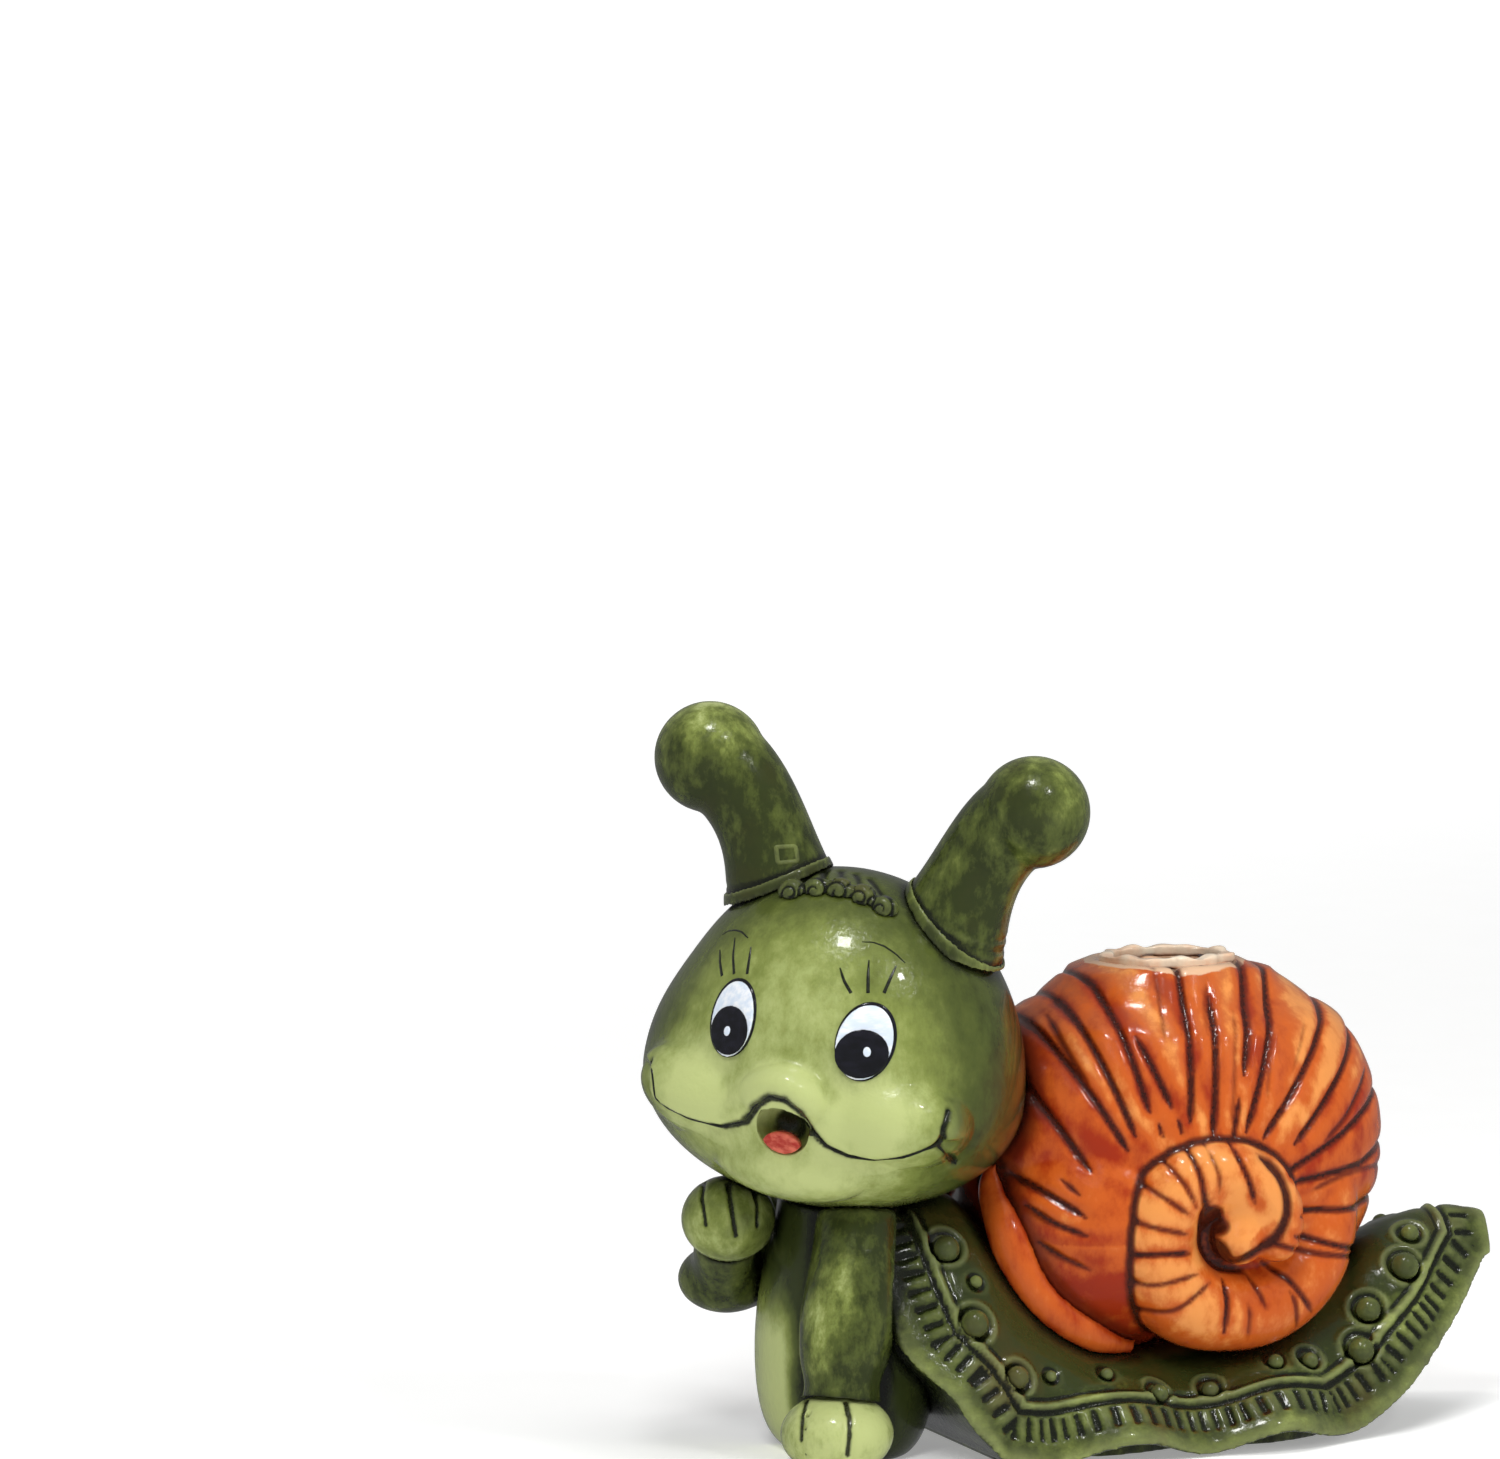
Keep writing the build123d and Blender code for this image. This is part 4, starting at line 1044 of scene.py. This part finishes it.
def pressed_lines(points, lines, width):
    """How deep the lines are at each point, from 0 to 1, and the wide hollow that they leave around them."""
    narrow, wide = np.zeros(len(points)), np.zeros(len(points))
    flat = points[:, [0, 2]]
    for depth, path in lines:
        low, high = path.min(0) - 6, path.max(0) + 6
        inside = ((flat > low) & (flat < high)).all(1)
        gap, along = from_line(flat[inside], path)
        total = np.linalg.norm(np.diff(path, axis=0), axis=1).sum()
        ends = slope(along, -0.5, 3.0) * slope(total - along, -0.5, 3.0) * 0.5 + 0.5
        narrow[inside] = np.maximum(narrow[inside], depth * ends * bump(gap, 0, width * ends))
        wide[inside] = np.maximum(wide[inside], depth * bump(gap, 0, 2.2))
    return narrow, wide


main_paths = [(1.0, np.array([
    whorl_middle + distance * np.array([cos(radians(angle)), sin(radians(angle))])
    for distance, angle in ends])) for ends in main_lines]
low_paths = drawn(shell_tree, low_lines)
pot_paths = main_paths + drawn(pot_tree, pot_lines) + low_paths
coil_paths = drawn(coil_tree, coil_lines) + low_paths + main_paths[10:14]

# %% Tell the whorls from the pot
spots = points_of(shell) / mm
near_coil = touch(shell, nodes(*shell_nodes[1:]), 3 * mm)
near_pot = touch(shell, nodes("shell_pot"), 3 * mm)
on_coil = evened(shell, slope(near_coil - near_pot, -0.05, 0.15), 2)


def either(on_whorls, on_pot):
    """One value on the whorls and another on the pot, blended where they meet."""
    return on_coil * on_whorls + (1 - on_coil) * on_pot


wider = evened(shell, on_coil, 12)
way = np.degrees(np.arctan2(spots[:, 2] - whorl_middle[1], spots[:, 0] - whorl_middle[0]))
open_side = slope(way, -80, -60) * slope(-way, -45, -30)
seam = unit(4.4 * wider * (1 - wider)) ** 1.5 * (1 - open_side)
bud_middle, hook_end = [
    np.array(under_pixel(coil_tree, *pixel)[0])[[0, 2]] / mm for pixel in ((1235, 1238), (1212, 1222))]
around = spots[:, [0, 2]] - bud_middle
bud_way = np.degrees(np.arctan2(around[:, 1], around[:, 0]))
merged = on_coil * slope(bud_way, 0, 30) * slope(-bud_way, -172, -150) * slope(-np.hypot(*around.T), -12, -9)
near_hook = np.hypot(*(spots[:, [0, 2]] - hook_end).T)

# %% Press the lines
pot_outward = (((spots - shell_middle) * normals_of(shell)).sum(1) > 0).astype(float)
outward = either(slope(abs(normals_of(shell)[:, 1]), 0.0, 0.2), pot_outward)
_, wide = pressed_lines(spots, main_paths, 0.85)
soften(shell, unit(wide * 1.5) * pot_outward * (1 - on_coil), 25)
soften(shell, merged, 65)
spots = points_of(shell) / mm
pot_narrow, pot_wide = pressed_lines(spots, pot_paths, 0.8)
coil_narrow, coil_wide = pressed_lines(spots, coil_paths, 0.75)
narrow, wide = either(0.85 * coil_narrow, pot_narrow), either(coil_wide, pot_wide)
hook, hook_wide = [on_coil * depth for depth in pressed_lines(spots, drawn(coil_tree, hook_lines), 1.0)]
from_axis = np.hypot(*(spots - shell_middle)[:, :2].T)  # how far from the middle of the mouth
brim = slope(spots[:, 2], 96, 106) * (bump(from_axis, 17, 2.5) - 2.4 * slope(from_axis, 18, 30))
press(shell, outward * (brim - 0.7 * narrow - 0.25 * wide - 0.7 * hook - 0.35 * hook_wide) * mm)
soften(shell, on_coil * np.maximum(bump(near_hook, 0, 4.5), bump(np.hypot(*around.T), 0, 6)), 32)

# %% Paint the shell
bulge = relief(shell, 14, 0.37 * mm)
contact = touch(shell, nodes("head", "mantle", "shell_lip_left", "shell_lip_right"), 7 * mm)
mouth = touch(shell, nodes("shell_rim"), 3.5 * mm)
height = slope(spots[:, 2], 70, 112)
head_side = touch(shell, nodes("head"), 16 * mm)
streaks = 0.5 + 0.3 * np.sin(way / 4.1 + 2 * np.sin(way / 17)) + 0.2 * np.sin(way / 1.7 + 1)
# Painted shade where the pot meets the head, cape and lips, on the side by the head, and where it turns away
# at its outline; wash in the hollows, and darker at the rim and on the inside wall.
pot_wash = (contact**1.5 * 0.9 + 0.12 * mouth + unit(-bulge - 0.2) * 0.4 + 0.3 * (1 - pot_outward)
            + 0.3 * head_side + 0.18 * slope(abs(normals_of(shell)[:, 1]), 0.55, 0.15))
# Stain in the hook's line, and painted shade in the hollow at its end.
coil_wash = (hook * 1.2 + hook_wide * 0.4 + 1.1 * slope(-near_hook, -4.5, -2.5)
             + unit(-bulge - 0.25) * 0.8 * (1 - merged) * (1 - open_side))
paint(shell, wash=(1.2 * narrow + 0.16 * wide) * outward + either(coil_wash, pot_wash) + 1.05 * seam)
paint(shell, ridge=bulge - 0.12, cream=slope(spots[:, 2], 104, 106) * slope(-from_axis, -20.5, -17.5))
# Glow on the whorls' outer faces is a painted highlight; on the pot it pales the far side and the upper part
# in streaks.
pot_glow = 0.35 * slope(spots[:, 0], 25, 60) + 0.9 * streaks * slope(spots[:, 2], 62, 84)
coil_glow = 0.9 * slope(abs(spots[:, 1] - middle_plane), 30, 41) * (1 - 0.7 * open_side)
# Ember deepens the coat between the streaks, near the head, where it is painted shade, and towards the
# bottom.
ember = (1 - streaks) * 0.7 + 0.6 * head_side + 0.4 * slope(spots[:, 2], 50, 28)
rosy = height * (1 - 0.5 * slope(spots[:, 0], 30, 60)) * (1 - wide) * (0.4 + 0.6 * streaks)
paint(shell, glow=either(coil_glow, pot_glow) * (1 - wide), ember=either(0, ember), rosy=either(0, rosy))

# %% Finish the lips
for side in ("left", "right"):
    lip = soft_copy(f"lip_glazed_{side}", [f"shell_lip_{side}"], 0.6 * mm, 6, lip_glaze)
    # Painted shade where the lip meets the pot, cape and head, and a painted highlight along the rest of it.
    contact = touch(lip, nodes("shell_pot", "mantle", "head"), 3.5 * mm)
    paint(lip, wash=0.6 * contact**2, ridge=0.6 * (1 - contact), glow=0.25 * (1 - contact))

# %% [markdown]
# ## The rim
# The mouth of the pot has a flat scalloped collar in cream. The orange of the shell crept up its
# edge, and the top shows the bare buff clay through a thin coat.

# %% Finish the rim
cream = Glaze("glaze_rim")
cloud, speck, wash = cream.noise(7 * mm, 4), cream.noise(0.9 * mm, 3), cream.mask("wash")
coat = cream.mix(cream.step(cloud, 0.35, 0.7), card(246, 226, 200), card(236, 194, 160))
coat = cream.mix(cream.step(wash + (cloud - 0.5) * 0.6, 0.6, 1.3), coat, card(206, 98, 44))
rim_glaze = cream.finish(coat, 0.2 + speck * 0.1, speck * 0.4 + cloud * 0.6, 0.00015, coat=0.5)
rim = soft_copy("rim_glazed", ["shell_rim"], 0.4 * mm, 6, rim_glaze)
spots = points_of(rim) / mm - shell_middle
way = np.arctan2(spots[:, 1], spots[:, 0])
press(rim, (0.3 * np.sin(7 * way + 1) + 0.25 * np.sin(11 * way)) * mm)
paint(rim, wash=touch(rim, nodes("shell_pot"), 2.2 * mm))
